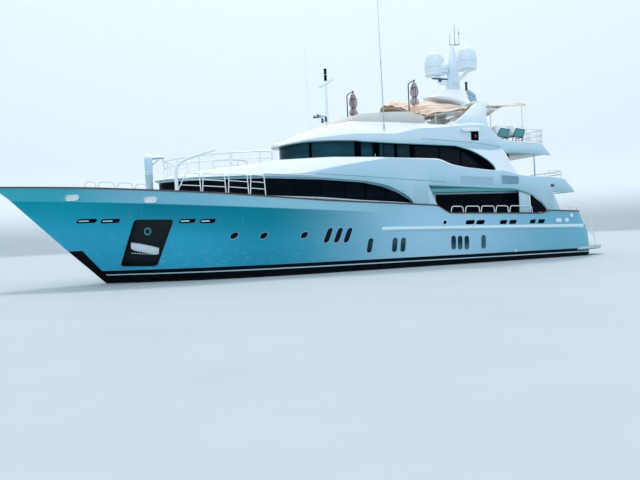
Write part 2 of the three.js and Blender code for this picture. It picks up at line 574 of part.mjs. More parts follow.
// Upper deck: half breadth of its side plates, and their lower edge, crease and top edge
const plateB = curve([-19.15, 4.0], [-17, 4.36], [-13, 4.5], [-7, 4.58], [-1, 4.54], [3, 4.3],
  [6, 3.78], [8.5, 3.15], [10.3, 2.45], [11.5, 1.65], [12.15, 0.85], [12.4, 0.1]);
const plateUnder = line([-19.15, 4.97], [-16.7, 4.97], [-14, 5.14], [-13, 5.3], [-11.7, 5.36],
  [-5.7, 5.68], [-2.4, 5.72], [-0.9, 6.04], [2, 6.3], [5.8, 6.5], [12.4, 6.5]);
const plateCrease = line([-19.15, 5.0], [-18.05, 6.02], [-16.2, 6.18], [-13.9, 6.26], [-12.2, 6.7],
  [-11.4, 6.64], [-8.9, 6.88], [-7.6, 7.1], [-6.8, 7.46], [-2.6, 7.6], [-0.9, 7.34], [1.3, 7.0],
  [3, 6.66], [12.4, 6.54]);
const plateTop = line([-19.15, 5.05], [-18.05, 6.07], [-16.2, 6.22], [-13.9, 6.3], [-12.2, 6.75],
  [-11.4, 6.68], [-8.9, 6.92], [-7.6, 7.16], [-6.8, 7.54], [-2.2, 7.68], [1.3, 7.74], [5.4, 7.58],
  [6.3, 7.42]);
const topB = line([-19.15, 4.0], [-17, 4.33], [-13, 4.47], [-7, 4.55], [-2.2, 4.35], [1.3, 3.9],
  [4, 3.45], [6.3, 3.0]);

// Side plates as sections from x to x: outer foot, crease, top, and the inner side back down
function sidePlate(xs, half, under, crease, topHalf, top, thick, side) {
  return solid(loft(xs.map((x) => {
    const [b, t] = [half(x), topHalf(x)];
    const [z0, z1, z2] = [under(x), crease(x), top(x)];
    return [[x, side * b, z0], [x, side * b, z1], [x, side * t, z2], [x, side * (t - thick), z2],
      [x, side * (b - thick), Math.max(z1 - 0.04, z0 + 0.01)], [x, side * (b - thick), z0]];
  })));
}
const UPPER_X = [-19.15, -18.05, -17, -16.2, -13.9, -12.2, -11.4, -8.9, -7.6, -6.8, -5.7, -2.4, -0.9,
  1.3, 3, 4.6, 6.3];

// Wings that hang from the plates down to the cap rail, fore and aft of the side deck
const WINGS = [
  [[-2.4, 5.74], [-3.5, 5.3], [-4.35, 4.74], [-4.5, 4.4], [-6.4, 4.25], [-5.72, 5.72], [-4, 5.95]],
  [[-12.9, 5.32], [-14, 5.1], [-14.85, 4.77], [-15.6, 4.3], [-16.2, 3.62], [-17.45, 3.57],
    [-16.7, 5.1], [-13.5, 5.5]],
];
function wing(outline, half, thick, side) {
  const y = (x) => half(x) - 0.002;
  return solid(loft([0, -thick + 0.004].map((step) =>
    outline.map(([x, z]) => [x, side * (y(x) + step), z]))));
}
const capSpace = solid(loft(capSections.map((ring) => ring.map(([x, y, z]) => [x, y, z + SEAM])),
  'closed'));
const pillar = (side) => rod([-15.86, side * 3.45, UPPER_AFT - 0.1],
  [-15.86, side * 3.45, SUN_AFT - 0.25 - SEAM], 0.06, 8);
const upperSide = (side) => {
  const plate = sidePlate(UPPER_X, plateB, plateUnder, plateCrease, topB, plateTop, PLATE, side);
  const y = (b) => [side > 0 ? SEAM : -b, side > 0 ? b : -SEAM];
  const foot = block(-19.14, -18.98, ...y(3.98), 4.98, 5.03);
  const rail = block(-18.2, -18.08, ...y(4.12), 5.42 + SEAM, 6.05);
  const wings = WINGS.map((outline) => wing(outline, plateB, PLATE, side));
  return cut(join(plate, foot, rail, ...wings), capSpace);
};
const upperSides = [upperSide(1), upperSide(-1)];
add('upper_side_port', upperSides[0], 'white');
add('upper_side_starboard', upperSides[1], 'white');

// Slab between two side plates, let into them by half their thickness and cut back to their faces
function slab(xs, half, under, top, sides) {
  const body = solid(loft(xs.map((x) => [[x, half(x), under], [x, half(x), top], [x, -half(x), top],
    [x, -half(x), under]])));
  return cut(body, ...[[0, 0], [-SEAM, 0], [0, -SEAM], [0, SEAM]].flatMap(([back, low]) =>
    sides.map((side, i) => side.translate([-back, i === 0 ? -SEAM : SEAM, low]))));
}

// Upper deck: the low aft part, the riser, and the high part that runs out over the bow house
const roofEdge = curve([5.4, 7.5], [6.3, 7.38], [8.1, 7.2], [9.9, 6.98], [11.4, 6.74], [12.4, 6.58]);
const slabB = (x) => plateB(x) - PLATE / 2;
const deckEdge = (x) => slabB(x) - THREE.MathUtils.mapLinear(THREE.MathUtils.clamp(x, 1.3, 6.3), 1.3, 6.3,
  0, 0.1);
const aftSlab = slab([-18.98 + SEAM, ...UPPER_X.filter((x) => x > -18.98 && x < -5.8), -5.6], slabB,
  UPPER_AFT_UNDER, UPPER_AFT, upperSides);
const foreSlab = slab([-5.75, ...UPPER_X.filter((x) => x > -5.7 && x < 6), 6.3, 6.5], deckEdge,
  ROOF_UNDER, UPPER_FWD, upperSides);
const riser = block(-5.75, -5.6, -4.3, 4.3, UPPER_AFT_UNDER, UPPER_FWD);
const bowRoof = solid(loft([6.3 + SEAM, 7, 8.5, 9.6, 10.6, 11.5, 12.1, 12.38].map((x) => {
  const b = plateB(x);
  const top = roofEdge(x);
  return [[x, 0, ROOF_UNDER], [x, b, ROOF_UNDER], [x, b + 0.01, ROOF_UNDER + 0.06], [x, b * 0.8, top],
    [x, b * 0.4, top + 0.08], [x, 0, top + 0.1], [x, -b * 0.4, top + 0.08], [x, -b * 0.8, top],
    [x, -b - 0.01, ROOF_UNDER + 0.06], [x, -b, ROOF_UNDER]];
})));
const upperDeck = join(aftSlab, foreSlab, riser, bowRoof, pillar(1), pillar(-1));
add('upper_deck', upperDeck, 'white');

// Wheelhouse and sky lounge on the upper deck
const LOUNGE = bothSides([[-12.6, 3.4], [-9, 3.46], [-5.5, 3.46], [-2, 3.45], [0, 3.28], [1.2, 2.95],
  [2.2, 2.4], [2.95, 1.6], [3.4, 0.7], [3.52, 0]]);
const LOUNGE_BAND = [[4, 8.92], [-8.4, 8.84], [-10.2, 8.55], [-11.6, 8.0], [-12.2, 7.3], [-12.2, 6.6],
  [-9.2, 6.6], [-7.4, 7.35], [4, 7.55]];
const LOUNGE_MULLIONS = [2.15, 0.55, -0.9, -2.0, -2.95, -4.1, -5.6, -7.4, -9.2];
const LOUNGE_DOOR = { fore: -2.1, aft: -2.86, foot: UPPER_FWD + 0.04, head: 8.86 };
const onUpperDeck = join(block(-20, -5.55, -5, 5, 4, UPPER_AFT + SEAM),
  block(-5.76 - SEAM, 7, -5, 5, 4, UPPER_FWD + SEAM));
const loungeDoorway = block(LOUNGE_DOOR.aft, LOUNGE_DOOR.fore, -5, 5, LOUNGE_DOOR.foot,
  LOUNGE_DOOR.head - 0.04);
const SUN_UNDER = 9.02;
const [loungeWalls, loungeGlass] = glazedWalls(LOUNGE, 5, SUN_UNDER - SEAM, LOUNGE_BAND,
  LOUNGE_MULLIONS, [loungeDoorway]);
add('lounge_walls', cut(loungeWalls, onUpperDeck), 'white');
add('wheelhouse_glass', cut(loungeGlass, block(-20, LOUNGE_DOOR.fore, -5, 5, 4, 12)), 'glass');
for (const [name, side] of [['port', 1], ['starboard', -1]]) {
  const half = block(-20, 10, side > 0 ? 0 : -5, side > 0 ? 5 : 0, 2, 12);
  add(`saloon_glass_${name}`, saloonGlass.intersect(half), 'glass');
  add(`lounge_glass_${name}`, cut(loungeGlass.intersect(half),
    block(LOUNGE_DOOR.aft, 10, -5, 5, 4, 12)), 'glass');
  const doorY = 3.46 + CLEAR;
  const door = join(block(LOUNGE_DOOR.aft - 0.06, LOUNGE_DOOR.fore + 0.06, doorY, doorY + 0.05,
    LOUNGE_DOOR.foot, LOUNGE_DOOR.head), ...[LOUNGE_DOOR.aft + 0.1, LOUNGE_DOOR.fore - 0.1].map((x) =>
    rod([x, doorY + 0.025, UPPER_FWD + SEAM], [x, doorY + 0.025, LOUNGE_DOOR.foot + 0.02], 0.02)));
  add(`wheelhouse_door_${name}`, side > 0 ? door : mirrored(door), 'glass');
  add(`saloon_door_${name}`, side > 0 ? saloonDoor : mirrored(saloonDoor), 'glass');
}

// Sun deck: half breadth of its side plates, and their lower edge, crease and top edge
const sunB = curve([-17.5, 3.4], [-16.4, 3.6], [-12.6, 3.9], [-8, 3.9], [-4, 3.8], [-0.6, 3.58],
  [1.2, 3.2], [2.3, 2.62], [3.3, 1.75], [3.9, 0.9], [4.12, 0.1]);
const sunUnder = line([-17.5, 7.9], [-12.6, 8.11], [-8.4, 8.55], [-3.7, 8.72], [-0.6, 8.88],
  [2.5, 8.85], [4.12, 8.6]);
const sunCrease = line([-17.5, 7.92], [-16.4, 8.88], [-14, 8.86], [-12.7, 8.98], [-12.2, 9.8],
  [-11.5, 10.1], [-10.2, 10.1], [-8.1, 9.92], [-5.6, 9.75], [-3.95, 9.38], [-0.6, 9.38], [2.3, 9.15],
  [4.12, 8.7]);
const sunTop = line([-17.5, 7.96], [-16.4, 8.92], [-14, 8.9], [-12.7, 9.04], [-12.2, 9.9],
  [-11.5, 10.3], [-10.2, 10.35], [-8.5, 10.16], [-7.6, 10.17], [-4, 10.3], [-0.8, 10.35],
  [0.94, 10.11], [2.3, 9.62], [3, 9.2], [4.12, 8.76]);
const sunTopB = line([-17.5, 3.38], [-16.4, 3.57], [-14, 3.78], [-12.7, 3.84], [-12, 3.55], [-8, 3.35],
  [-4, 3.0], [-0.8, 2.7], [0.94, 2.3], [2.3, 1.9], [3, 1.3], [4.12, 0.06]);
const BROW_AFT = -0.95;           // x where the solid brow over the wheelhouse begins
const SUN_X = [-17.5, -16.4, -14, -12.7, -12.2, -11.5, -10.2, -8.5, -7.6, -5.6, -4, -2.3,
  BROW_AFT - SEAM];
const SUN_BREAK = -12.3;          // x of the step down to the aft part of the sun deck

// Wing behind the upper windows, from the sun deck's plate down to the upper deck's
const SUN_WING = [[-8.4, 8.55], [-10.14, 8.2], [-11.46, 7.62], [-12.12, 7.05], [-12.3, 6.66],
  [-13.9, 6.26], [-12.9, 8.05], [-12.6, 8.3], [-9, 8.9]];
const wingY = (z) => line([6.2, 4.45], [8.3, 3.89])(z);
const sunWing = (side) => solid(loft([0, -PLATE].map((step) => SUN_WING.map(([x, z]) =>
  [x, side * (wingY(z) + step), z]))));
const WHIP = { x: -3.0, y: 3.5, foot: 9.74, top: 19.4 };
const whipPad = turned(WHIP.x, WHIP.y, [[0, WHIP.foot - 0.3], [0.05, WHIP.foot - 0.3],
  [0.1, WHIP.foot - 0.05], [0.1, WHIP.foot], [0, WHIP.foot]], 8);
const sunSides = [1, -1].map((side) => cut(join(
  sidePlate(SUN_X, sunB, sunUnder, sunCrease, sunTopB, sunTop, PLATE, side), sunWing(side),
  ...(side > 0 ? [whipPad] : [])), ...[[0, 0], [0, SEAM], [SEAM, 0], [-SEAM, 0]].map(([out, up]) =>
  upperSides[side > 0 ? 0 : 1].translate([0, out, up]))));
add('sun_side_port', sunSides[0], 'white');
add('sun_side_starboard', sunSides[1], 'white');
const sunEdge = (x) => sunB(x) - PLATE * 0.8;
const sunFore = slab([SUN_BREAK - 0.1, ...SUN_X.filter((x) => x > SUN_BREAK), BROW_AFT + 0.1],
  sunEdge, SUN_UNDER, SUN_FWD, sunSides);
const sunAft = slab([-17.3, -16.4, -14, SUN_BREAK], sunEdge, SUN_AFT - 0.25, SUN_AFT, sunSides);
const brow = solid(loft([BROW_AFT, 0.2, 0.94, 1.6, 2.3, 3, 3.5, 3.9, 4.1].map((x) => {
  const [b, t, top] = [sunB(x), sunTopB(x), sunTop(x)];
  return [[x, 0, sunUnder(x)], [x, b, sunUnder(x)], [x, b, sunCrease(x)], [x, t, top],
    [x, 0, top + 0.08], [x, -t, top], [x, -b, sunCrease(x)], [x, -b, sunUnder(x)]];
})));
const FOREMAST = { x: -0.2, foot: 10.46, top: 14.6 };
const foremastPad = turned(FOREMAST.x, 0, [[0, 10.2], [0.24, 10.2], [0.2, FOREMAST.foot],
  [0, FOREMAST.foot]], 10);
const overLounge = column(inset(LOUNGE, -0.08), 6, SUN_UNDER);
const sunDeck = cut(join(sunFore, brow, foremastPad), overLounge);
const eaveZone = (top) => block(BROW_AFT - 0.05, 5, -5, 5, 8, top);
add('sun_deck', cut(sunDeck, eaveZone(SUN_UNDER)), 'white');
add('sun_deck_aft', cut(sunAft, overLounge), 'white');
add('brow_eave', sunDeck.intersect(eaveZone(SUN_UNDER - SEAM)), 'white');

// Smoked windscreen on the brow and the side plates: foot as x, y, then x, y, z of its top
const WINDSCREEN = [[-6.5, 3.16, -6.5, 3.1, 10.75], [-5.4, 3.05, -5.5, 2.98, 11.1],
  [-4, 2.93, -4.1, 2.86, 11.07], [-2.3, 2.78, -2.5, 2.7, 10.98], [-1.2, 2.66, -1.6, 2.52, 10.9],
  [-0.82, 2.15, -1.35, 2.05, 10.88], [-0.65, 1.3, -1.2, 1.25, 10.88], [-0.58, 0.45, -1.12, 0.45, 10.9]];
const browTop = (x, y) => sunTop(x) + 0.08 * (x > BROW_AFT ? 1 - Math.abs(y) / sunTopB(x) : 0);
const screenRows = [...WINDSCREEN, ...WINDSCREEN.toReversed().map(([x, y, X, Y, z]) =>
  [x, -y, X, -Y, z])];
const screenFoot = (t) => inset(screenRows.map(([x, y]) => [x, y]), t);
const screenHead = (t) => inset(screenRows.map(([, , x, y]) => [x, y]), t);
const [footIn, headIn] = [screenFoot(0.035), screenHead(0.03)];
const screen = solid(loft(screenRows.map(([x, y, X, Y, z], i) => {
  const low = browTop(x, y) - 0.03;
  const end = i === 0 || i === screenRows.length - 1;
  const [fx, fy] = end ? [x, y - Math.sign(y) * 0.035] : footIn[i];
  const [hx, hy] = end ? [X, Y - Math.sign(Y) * 0.03] : headIn[i];
  return [[x, y, low], [fx, fy, low], [hx, hy, z], [X, Y, z]];
})));
const sunRaised = [sunDeck, ...sunSides].map((body) => body.translate([0, 0, SEAM]));
add('windscreen', largest(cut(screen, ...sunRaised, ...sunSides.flatMap((body, i) =>
  [body, body.translate([0, i === 0 ? -SEAM : SEAM, 0])]))), 'smoked');

// Arch over the sun deck, on two legs that stand inside the plates
const ARCH = [[-9.0, SUN_FWD + SEAM], [-8.6, 10.1], [-9.6, 10.75], [-10.47, 11.4], [-11.2, 11.95],
  [-12.2, 11.95], [-12.15, 11.43], [-12.1, 10.35], [-12.15, SUN_FWD + SEAM]];
const ARCH_TOP = 12.05;
const archY = line([10.3, 3.17], [12, 2.75]);
const archLeg = solid(loft([0, -0.26].map((step) => ARCH.map(([x, z]) => [x, archY(z) + step, z]))));
const archBeam = solid(loft([-2.72, 2.72].map((y) => [[-12.2, y, 11.72], [-12.2, y, ARCH_TOP - 0.04],
  [-12.1, y, ARCH_TOP], [-11.1, y, ARCH_TOP], [-10.95, y, ARCH_TOP - 0.08], [-11.15, y, 11.72]])));
add('radar_arch', join(archLeg, mirrored(archLeg), archBeam), 'white');

// Mast on the arch: fairing, column, cross arms for the domes and a bracket for the scanner
const MAST = { x: -11.05, foot: ARCH_TOP + SEAM, top: 17.0 };
const DOMES = {
  port: { x: -10.86, y: 2.3, seat: 14.45, radius: 0.75, height: 1.76 },
  starboard: { x: -10.9, y: -2.3, seat: 14.98, radius: 0.83, height: 1.95 },
};
const SMALL_DOME = { x: -10.33, seat: 14.75, radius: 0.3, height: 0.7 };
const SCANNER = { x: -9.9, seat: 13.98, reach: 0.72 };
// Fairing at the mast's foot: height, x aft, x fore, half breadth
const MAST_FAIRING = [[MAST.foot, -12.15, -11.0, 1.2], [12.38, -12.17, -10.3, 1.15],
  [12.66, -12.2, -8.5, 1.0], [12.8, -12.2, -8.55, 0.95], [13.1, -12.15, -9.6, 0.7],
  [13.4, -11.95, -10.35, 0.45]];
const mastFairing = solid(loft(MAST_FAIRING.map(([z, aft, fore, half]) =>
  [[fore, half * 0.5, z], [aft, half, z], [aft, -half, z], [fore, -half * 0.5, z]])));
const mastFin = prism([[-12.1, 12.2], [-12.1, 13.3], [-12.44, 13.48], [-13.08, 13.12], [-13.19, 12.42],
  [-12.6, 12.36]], -0.12, 0.12);
const mastColumn = bentBar([[MAST.x, 0, 13.2], [MAST.x, 0, 15.6], [MAST.x - 0.1, 0, 16.5],
  [MAST.x - 0.12, 0, MAST.top]], 0.33, 8, 0.07);
const mastArm = ({ x, y, seat }) => bentBar([[MAST.x, 0, 14.1], [MAST.x + 0.04, y * 0.55, seat - 0.2],
  [x, y, seat - 0.12]], 0.17, 6, 0.1);
const seat = (x, y, top, r) => turned(x, y, [[0, top - 0.16], [r * 0.5, top - 0.16], [r, top - 0.05],
  [r, top], [0, top]], 10);
add('mast', join(mastFairing, mastFin, mastColumn, mastArm(DOMES.port), mastArm(DOMES.starboard),
  ...Object.values(DOMES).map(({ x, y, seat: top }) => seat(x, y, top, 0.4)),
  rod([MAST.x, 0, 13.85], [SCANNER.x, 0, 13.85], 0.09, 6), seat(SCANNER.x, 0, SCANNER.seat, 0.17),
  rod([MAST.x, 0, 14.62], [SMALL_DOME.x, 0, 14.65], 0.06, 6), seat(SMALL_DOME.x, 0, SMALL_DOME.seat, 0.16)),
'white');
const dome = ({ x, y = 0, seat: z, radius: r, height: h }) => turned(x, y, [[0, z + SEAM],
  [r * 0.6, z + SEAM], [r * 0.97, z + h * 0.12], [r, z + h * 0.5], [r * 0.93, z + h * 0.75],
  [r * 0.66, z + h * 0.93], [0, z + h]], 16);
add('dome_port', dome(DOMES.port), 'white');
add('dome_starboard', dome(DOMES.starboard), 'white');
add('dome_small', dome(SMALL_DOME), 'white');
add('radar_scanner', join(
  turned(SCANNER.x, 0, [[0, SCANNER.seat + SEAM], [0.15, SCANNER.seat + SEAM],
    [0.12, SCANNER.seat + 0.22], [0, SCANNER.seat + 0.22]], 10),
  block(SCANNER.x - SCANNER.reach, SCANNER.x + SCANNER.reach, -0.07, 0.07, SCANNER.seat + 0.2,
    SCANNER.seat + 0.34)), 'dark');

// Foremast on the brow and the tall whip on the port plate
const foremast = join(
  turned(FOREMAST.x, 0, [[0, FOREMAST.foot + SEAM], [0.17, FOREMAST.foot + SEAM],
    [0.12, FOREMAST.foot + 0.3], [0.09, FOREMAST.foot + 0.5], [0, FOREMAST.foot + 0.5]], 8),
  rod([FOREMAST.x, 0, FOREMAST.foot + 0.2], [FOREMAST.x, 0, FOREMAST.top], 0.1, 8, 0.07),
  rod([FOREMAST.x, -0.65, 13.45], [FOREMAST.x, 0.65, 13.45], 0.045, 6));
add('foremast', foremast, 'white');
add('whip_antenna', rod([WHIP.x, WHIP.y, WHIP.foot + SEAM], [WHIP.x + 0.12, WHIP.y, WHIP.top], 0.06, 6,
  0.02), 'white');

// Canvas roof on a frame of hoops. Its rows: x and height of the crown, height of the edge, and
// how far the edge lies aft of the crown.
const ARC = [[1, 0], [0.55, 0.72], [0, 1], [-0.55, 0.72], [-1, 0]];
const arcPoints = ([x, crown, edge, rake = 0], half, drop) => ARC.map(([y, rise]) =>
  [x - rake * (1 - rise), half * y, edge + (crown - edge) * rise - drop]);
function canopy(rows, half, thick) {
  return solid(loft(rows.map((row) => [...arcPoints(row, half, 0),
    ...arcPoints(row, half, thick).toReversed()])));
}
// Line of points y, z moved down by a distance, square to its stretches
function lowered(points, distance) {
  const at = points.map(([y, z]) => new THREE.Vector2(y, z));
  return at.map((point, i) => {
    const [before, after] = [at[Math.max(i - 1, 0)], at[Math.min(i + 1, at.length - 1)]];
    const [a, b] = [point.clone().sub(before), after.clone().sub(point)]
      .map((leg) => new THREE.Vector2(leg.y, -leg.x).normalize());
    const normal = a.clone().add(b).normalize();
    const reach = distance / (a.lengthSq() * b.lengthSq() > 0.5 ? normal.dot(a) : 1);
    return [point.x + normal.x * reach, point.y + normal.y * reach];
  });
}

function canopyFrame(rows, xs, half, foot, bar) {
  const crown = line(...rows.toReversed().map(([x, z]) => [x, z]));
  const edge = line(...rows.toReversed().map(([x, , z]) => [x, z]));
  const arcs = xs.map((x) => {
    const slope = Math.max(Math.abs(crown(x + bar) - crown(x - bar)),
      Math.abs(edge(x + bar) - edge(x - bar))) / 2;
    return lowered(ARC.map(([y, rise]) => [half * y, edge(x) + (crown(x) - edge(x)) * rise
      - AWNING.thick]).toReversed(), 5 * SEAM + bar * Math.SQRT1_2 + slope);
  });
  const hoops = xs.map((x, i) => bentBar([[x, -half, foot], ...arcs[i].map(([y, z]) => [x, y, z]),
    [x, half, foot]], bar));
  const ends = xs.map((x, i) => [x, arcs[i][0][1] - 0.1]);
  if (rows[0][3]) {
    const bow = arcPoints([rows[0][0] - 0.08, ...rows[0].slice(1)], half, AWNING.thick + 0.1);
    hoops.push(bentBar([[bow[0][0], half, foot], ...bow, [bow[0][0], -half, foot]], bar));
    ends.unshift([bow[0][0], bow[0][2] - 0.1]);
  }
  const stretchers = [1, -1].map((side) => bentBar(ends.map(([x, z]) => [x, side * half, z]), bar * 0.8));
  return join(...hoops, ...stretchers);
}
const AWNING_FORE = [[-4.85, 12.0, 11.05, 1.55], [-5.65, 12.3, 11.05, 1.15], [-7.9, 12.45, 11.2],
  [-10.1, 12.2, 11.5], [-10.8, 12.05, 11.7]];
const AWNING_AFT = [[-12.35, 12.2, 11.95], [-12.75, 12.23, 11.98], [-15.7, 12.38, 12.08],
  [-16.1, 12.4, 12.1]];
const AWNING = { half: 2.4, thick: 0.04, bar: 0.035 };
for (const [name, rows, xs, foot, finish] of [
  ['forward', AWNING_FORE, [-7.9, -10.1], SUN_FWD + SEAM, 'canvas'],
  ['aft', AWNING_AFT, [-12.75, -15.7], SUN_AFT + SEAM, 'sand']]) {
  add(`awning_${name}`, canopy(rows, AWNING.half, AWNING.thick), finish);
  add(`awning_frame_${name}`, canopyFrame(rows, xs, AWNING.half, foot, AWNING.bar), 'steel');
}

// Cantilever parasols, furled: x, y of the pole and the height of its arm
const PARASOL_ARM = 0.48;
const PARASOL_ROWS = [[0, 1.62], [0.16, 1.6], [0.25, 1.35], [0.2, 1.1], [0.24, 0.8], [0.15, 0.15],
  [0.06, 0], [0, 0]];
for (const [name, x, y, top] of [['forward', -1.42, 0.95, 12.84], ['aft', -5.5, 2.72, 13.43]]) {
  add(`parasol_pole_${name}`, join(
    turned(x, y, [[0, SUN_FWD + SEAM], [0.24, SUN_FWD + SEAM], [0.22, SUN_FWD + 0.07],
      [0.05, SUN_FWD + 0.1], [0, SUN_FWD + 0.1]], 10),
    bentBar([[x, y, SUN_FWD + 0.05], [x, y, top - 0.36], [x - 0.1, y, top - 0.24],
      [x - PARASOL_ARM - 0.08, y, top]], 0.04),
    rod([x - PARASOL_ARM, y, top], [x - PARASOL_ARM, y, top - 0.16], 0.05, 6)), 'cap');
  const head = top - 0.16 - SEAM;
  add(`parasol_canopy_${name}`, turned(x - PARASOL_ARM, y,
    PARASOL_ROWS.map(([r, drop]) => [r, head - drop]), 12), 'cloth');
}

// Life raft canisters in a cradle that stands on the aft sun deck
const RAFT = { y: 3.05, z: 9.72, radius: 0.42, length: 1.28, starts: [-12.45, -13.87] };
const canister = (x) => solid(new THREE.LatheGeometry([[0, 0], [0.34, 0.02], [RAFT.radius, 0.12],
  [RAFT.radius, RAFT.length - 0.12], [0.34, RAFT.length - 0.02], [0, RAFT.length]]
  .map(([r, z]) => new THREE.Vector2(r, z)), 12).rotateZ(Math.PI / 2).translate(x, RAFT.y, RAFT.z));
const cradle = [-0.2, 0.2].flatMap((step) => [
  rod([-12.6, RAFT.y + step, RAFT.z - 0.38], [-15.0, RAFT.y + step, RAFT.z - 0.38], 0.045),
  ...[-12.95, -13.5, -14.1, -14.7].map((x) =>
    rod([x, RAFT.y + step, RAFT.z - 0.38], [x, RAFT.y + step, SUN_AFT + SEAM], 0.05))]);
const rafts = join(...RAFT.starts.map(canister), ...cradle);
add('life_rafts_port', rafts, 'white');
add('life_rafts_starboard', mirrored(rafts), 'white');

// Crane on the foredeck and the davit beside it
add('crane_base', turned(CRANE.x, CRANE.y, [[0, CRANE.seat + SEAM], [0.38, CRANE.seat + SEAM],
  [0.38, CRANE.seat + 0.06], [0.26, CRANE.seat + 0.35], [0.26, CRANE.seam], [0, CRANE.seam]], 12), 'white');
add('crane_head', join(
  turned(CRANE.x, CRANE.y, [[0, CRANE.seam + CLEAR], [0.27, CRANE.seam + CLEAR],
    [0.28, CRANE.head - 0.3], [0.2, CRANE.head - 0.06], [0, CRANE.head]], 12),
  rod([CRANE.x, CRANE.y, CRANE.seam + SEAM], [CRANE.x, CRANE.y, CRANE.seam + 0.2], 0.12, 8),
  rod([CRANE.x, CRANE.y, CRANE.head - 0.28], [CRANE.x - 1.05, CRANE.y, CRANE.head - 0.2], 0.13, 6,
    0.09)), 'white');
add('davit_arm', bentBar([[DAVIT.x, DAVIT.y, DAVIT.seat + SEAM], [DAVIT.x, DAVIT.y, 7.0],
  [DAVIT.x - 0.16, DAVIT.y, 7.38], [DAVIT.x - 0.65, DAVIT.y, 7.68], [9.06, DAVIT.y, 8.27]], 0.13, 6, 0.07),
'white');

// Rail round the roof of the bow house: x, y and height of its top, from aft to the bow
const ROOF_RAIL = [[5.15, 2.95, 8.2], [5.9, 2.75, 8.26], [7.8, 2.42, 8.18], [9.8, 1.9, 8.06],
  [11.1, 1.35, 7.9], [11.65, 0.6, 7.84]];
const roofRows = [...ROOF_RAIL, ...ROOF_RAIL.toReversed().map(([x, y, z]) => [x, -y, z])];
const roofPosts = roofRows.map(([x, y, z], i) => rod([x, y, z], [x, y, x < 6.2 ? UPPER_FWD - 0.01
  : roofEdge(x) - 0.02], i === 2 || i === roofRows.length - 3 ? 0.09 : 0.03));
add('roof_rail', cut(join(bentBar(roofRows, 0.035), bentBar(roofRows.map(([x, y, z]) =>
  [x, y, z - 0.42]), 0.022), ...roofPosts), upperDeck.translate([0, 0, SEAM]),
...upperSides.map((body) => body.translate([0, 0, SEAM]))), 'white');

// Rail aft on the sun deck: x, y and height of the top bar, port half
const SUN_RAIL = [[-15.4, 3.2, 9.93], [-16.4, 3.2, 9.93], [-17.0, 3.05, 9.93], [-17.18, 2.6, 9.93]];
const sunRailRows = [...SUN_RAIL, ...SUN_RAIL.toReversed().map(([x, y, z]) => [x, -y, z])];
const sunRailPosts = [...sunRailRows, ...[-1.3, 0, 1.3].map((y) => [-17.18, y, 9.93])];
add('sun_deck_rail', join(
  ...[0, 0.42, 0.84].map((drop) => bentBar(sunRailRows.map(([x, y, z]) => [x, y, z - drop]), RAIL)),
  ...sunRailPosts.map(([x, y, z]) => rod([x, y, SUN_AFT + SEAM], [x, y, z], 0.05))), 'steel');

// Anchor stowed in the starboard pocket, its outlines as x, z. The port one is down.
const inPocket = (outline, low, high) => solid(loft([high, low].map((out) => outline.map(([x, z]) =>
  [x + 0.3 * out, -(hullSide(x, z) + out), z - 0.35 * out]))));
const anchor = join(
  inPocket([[13.32, 3.35], [13.56, 3.35], [13.98, 1.75], [13.74, 1.75]], -0.42, -0.12),
  inPocket([[13.05, 2.15], [14.75, 2.05], [14.5, 2.75], [14.2, 2.15], [13.5, 2.2], [12.85, 2.8]],
    -0.42, -0.06),
  inPocket([[13.2, 2.1], [14.55, 2.02], [14.4, 1.72], [13.4, 1.78]], -0.42, -0.02));
add('anchor_starboard', largest(cut(anchor, ...[[0, -1], [-1, -1], [1, -1]].map(([x, y]) =>
  hullSolid.translate([x * SEAM, y * SEAM, 0])))), 'steel');

export default yacht;
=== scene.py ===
"""Motor yacht, tri-deck, as a 1:2 scale model: its finishes and fine pieces, built round the CAD frame.

Every length here is in metres of the real ship, +X forward, +Y port, +Z up from the waterline.
SHIP turns a ship's metre into the model's metres.
"""

from math import ceil, copysign, cos, dist, pi, radians, sin, sqrt, tau

import bmesh
import bpy
from bpy.props import FloatProperty, FloatVectorProperty, IntProperty, PointerProperty
from mathutils import Matrix, Vector
from mathutils.bvhtree import BVHTree


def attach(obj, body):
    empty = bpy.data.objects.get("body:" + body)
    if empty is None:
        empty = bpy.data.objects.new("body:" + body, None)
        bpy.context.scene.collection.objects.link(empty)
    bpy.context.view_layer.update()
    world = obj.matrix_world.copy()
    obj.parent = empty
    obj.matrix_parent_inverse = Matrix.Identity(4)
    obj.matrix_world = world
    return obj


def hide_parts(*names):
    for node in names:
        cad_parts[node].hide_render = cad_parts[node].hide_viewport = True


bl_info = {
    "name": "Motor yacht model",
    "version": (1, 0, 0),
    "blender": (4, 5, 0),
    "location": "3D View > Sidebar > Yacht",
    "description": "Finishes and fine pieces of a tri-deck motor yacht, 1:2 scale model",
    "category": "Object",
}

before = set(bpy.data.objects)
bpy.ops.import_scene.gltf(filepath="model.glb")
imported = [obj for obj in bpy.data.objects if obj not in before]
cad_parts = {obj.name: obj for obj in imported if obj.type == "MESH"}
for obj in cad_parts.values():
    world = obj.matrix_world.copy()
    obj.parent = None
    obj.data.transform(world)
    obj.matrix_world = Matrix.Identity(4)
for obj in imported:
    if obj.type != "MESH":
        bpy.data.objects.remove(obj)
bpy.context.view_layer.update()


# What a user of the model may change

def length(title, meaning, default):
    return FloatProperty(name=title, description=meaning, default=default, min=0.0, unit="LENGTH",
                         subtype="DISTANCE")


def tint(title, meaning, default):
    return FloatVectorProperty(name=title, description=meaning, default=default, size=3, min=0.0, max=1.0,
                               subtype="COLOR")


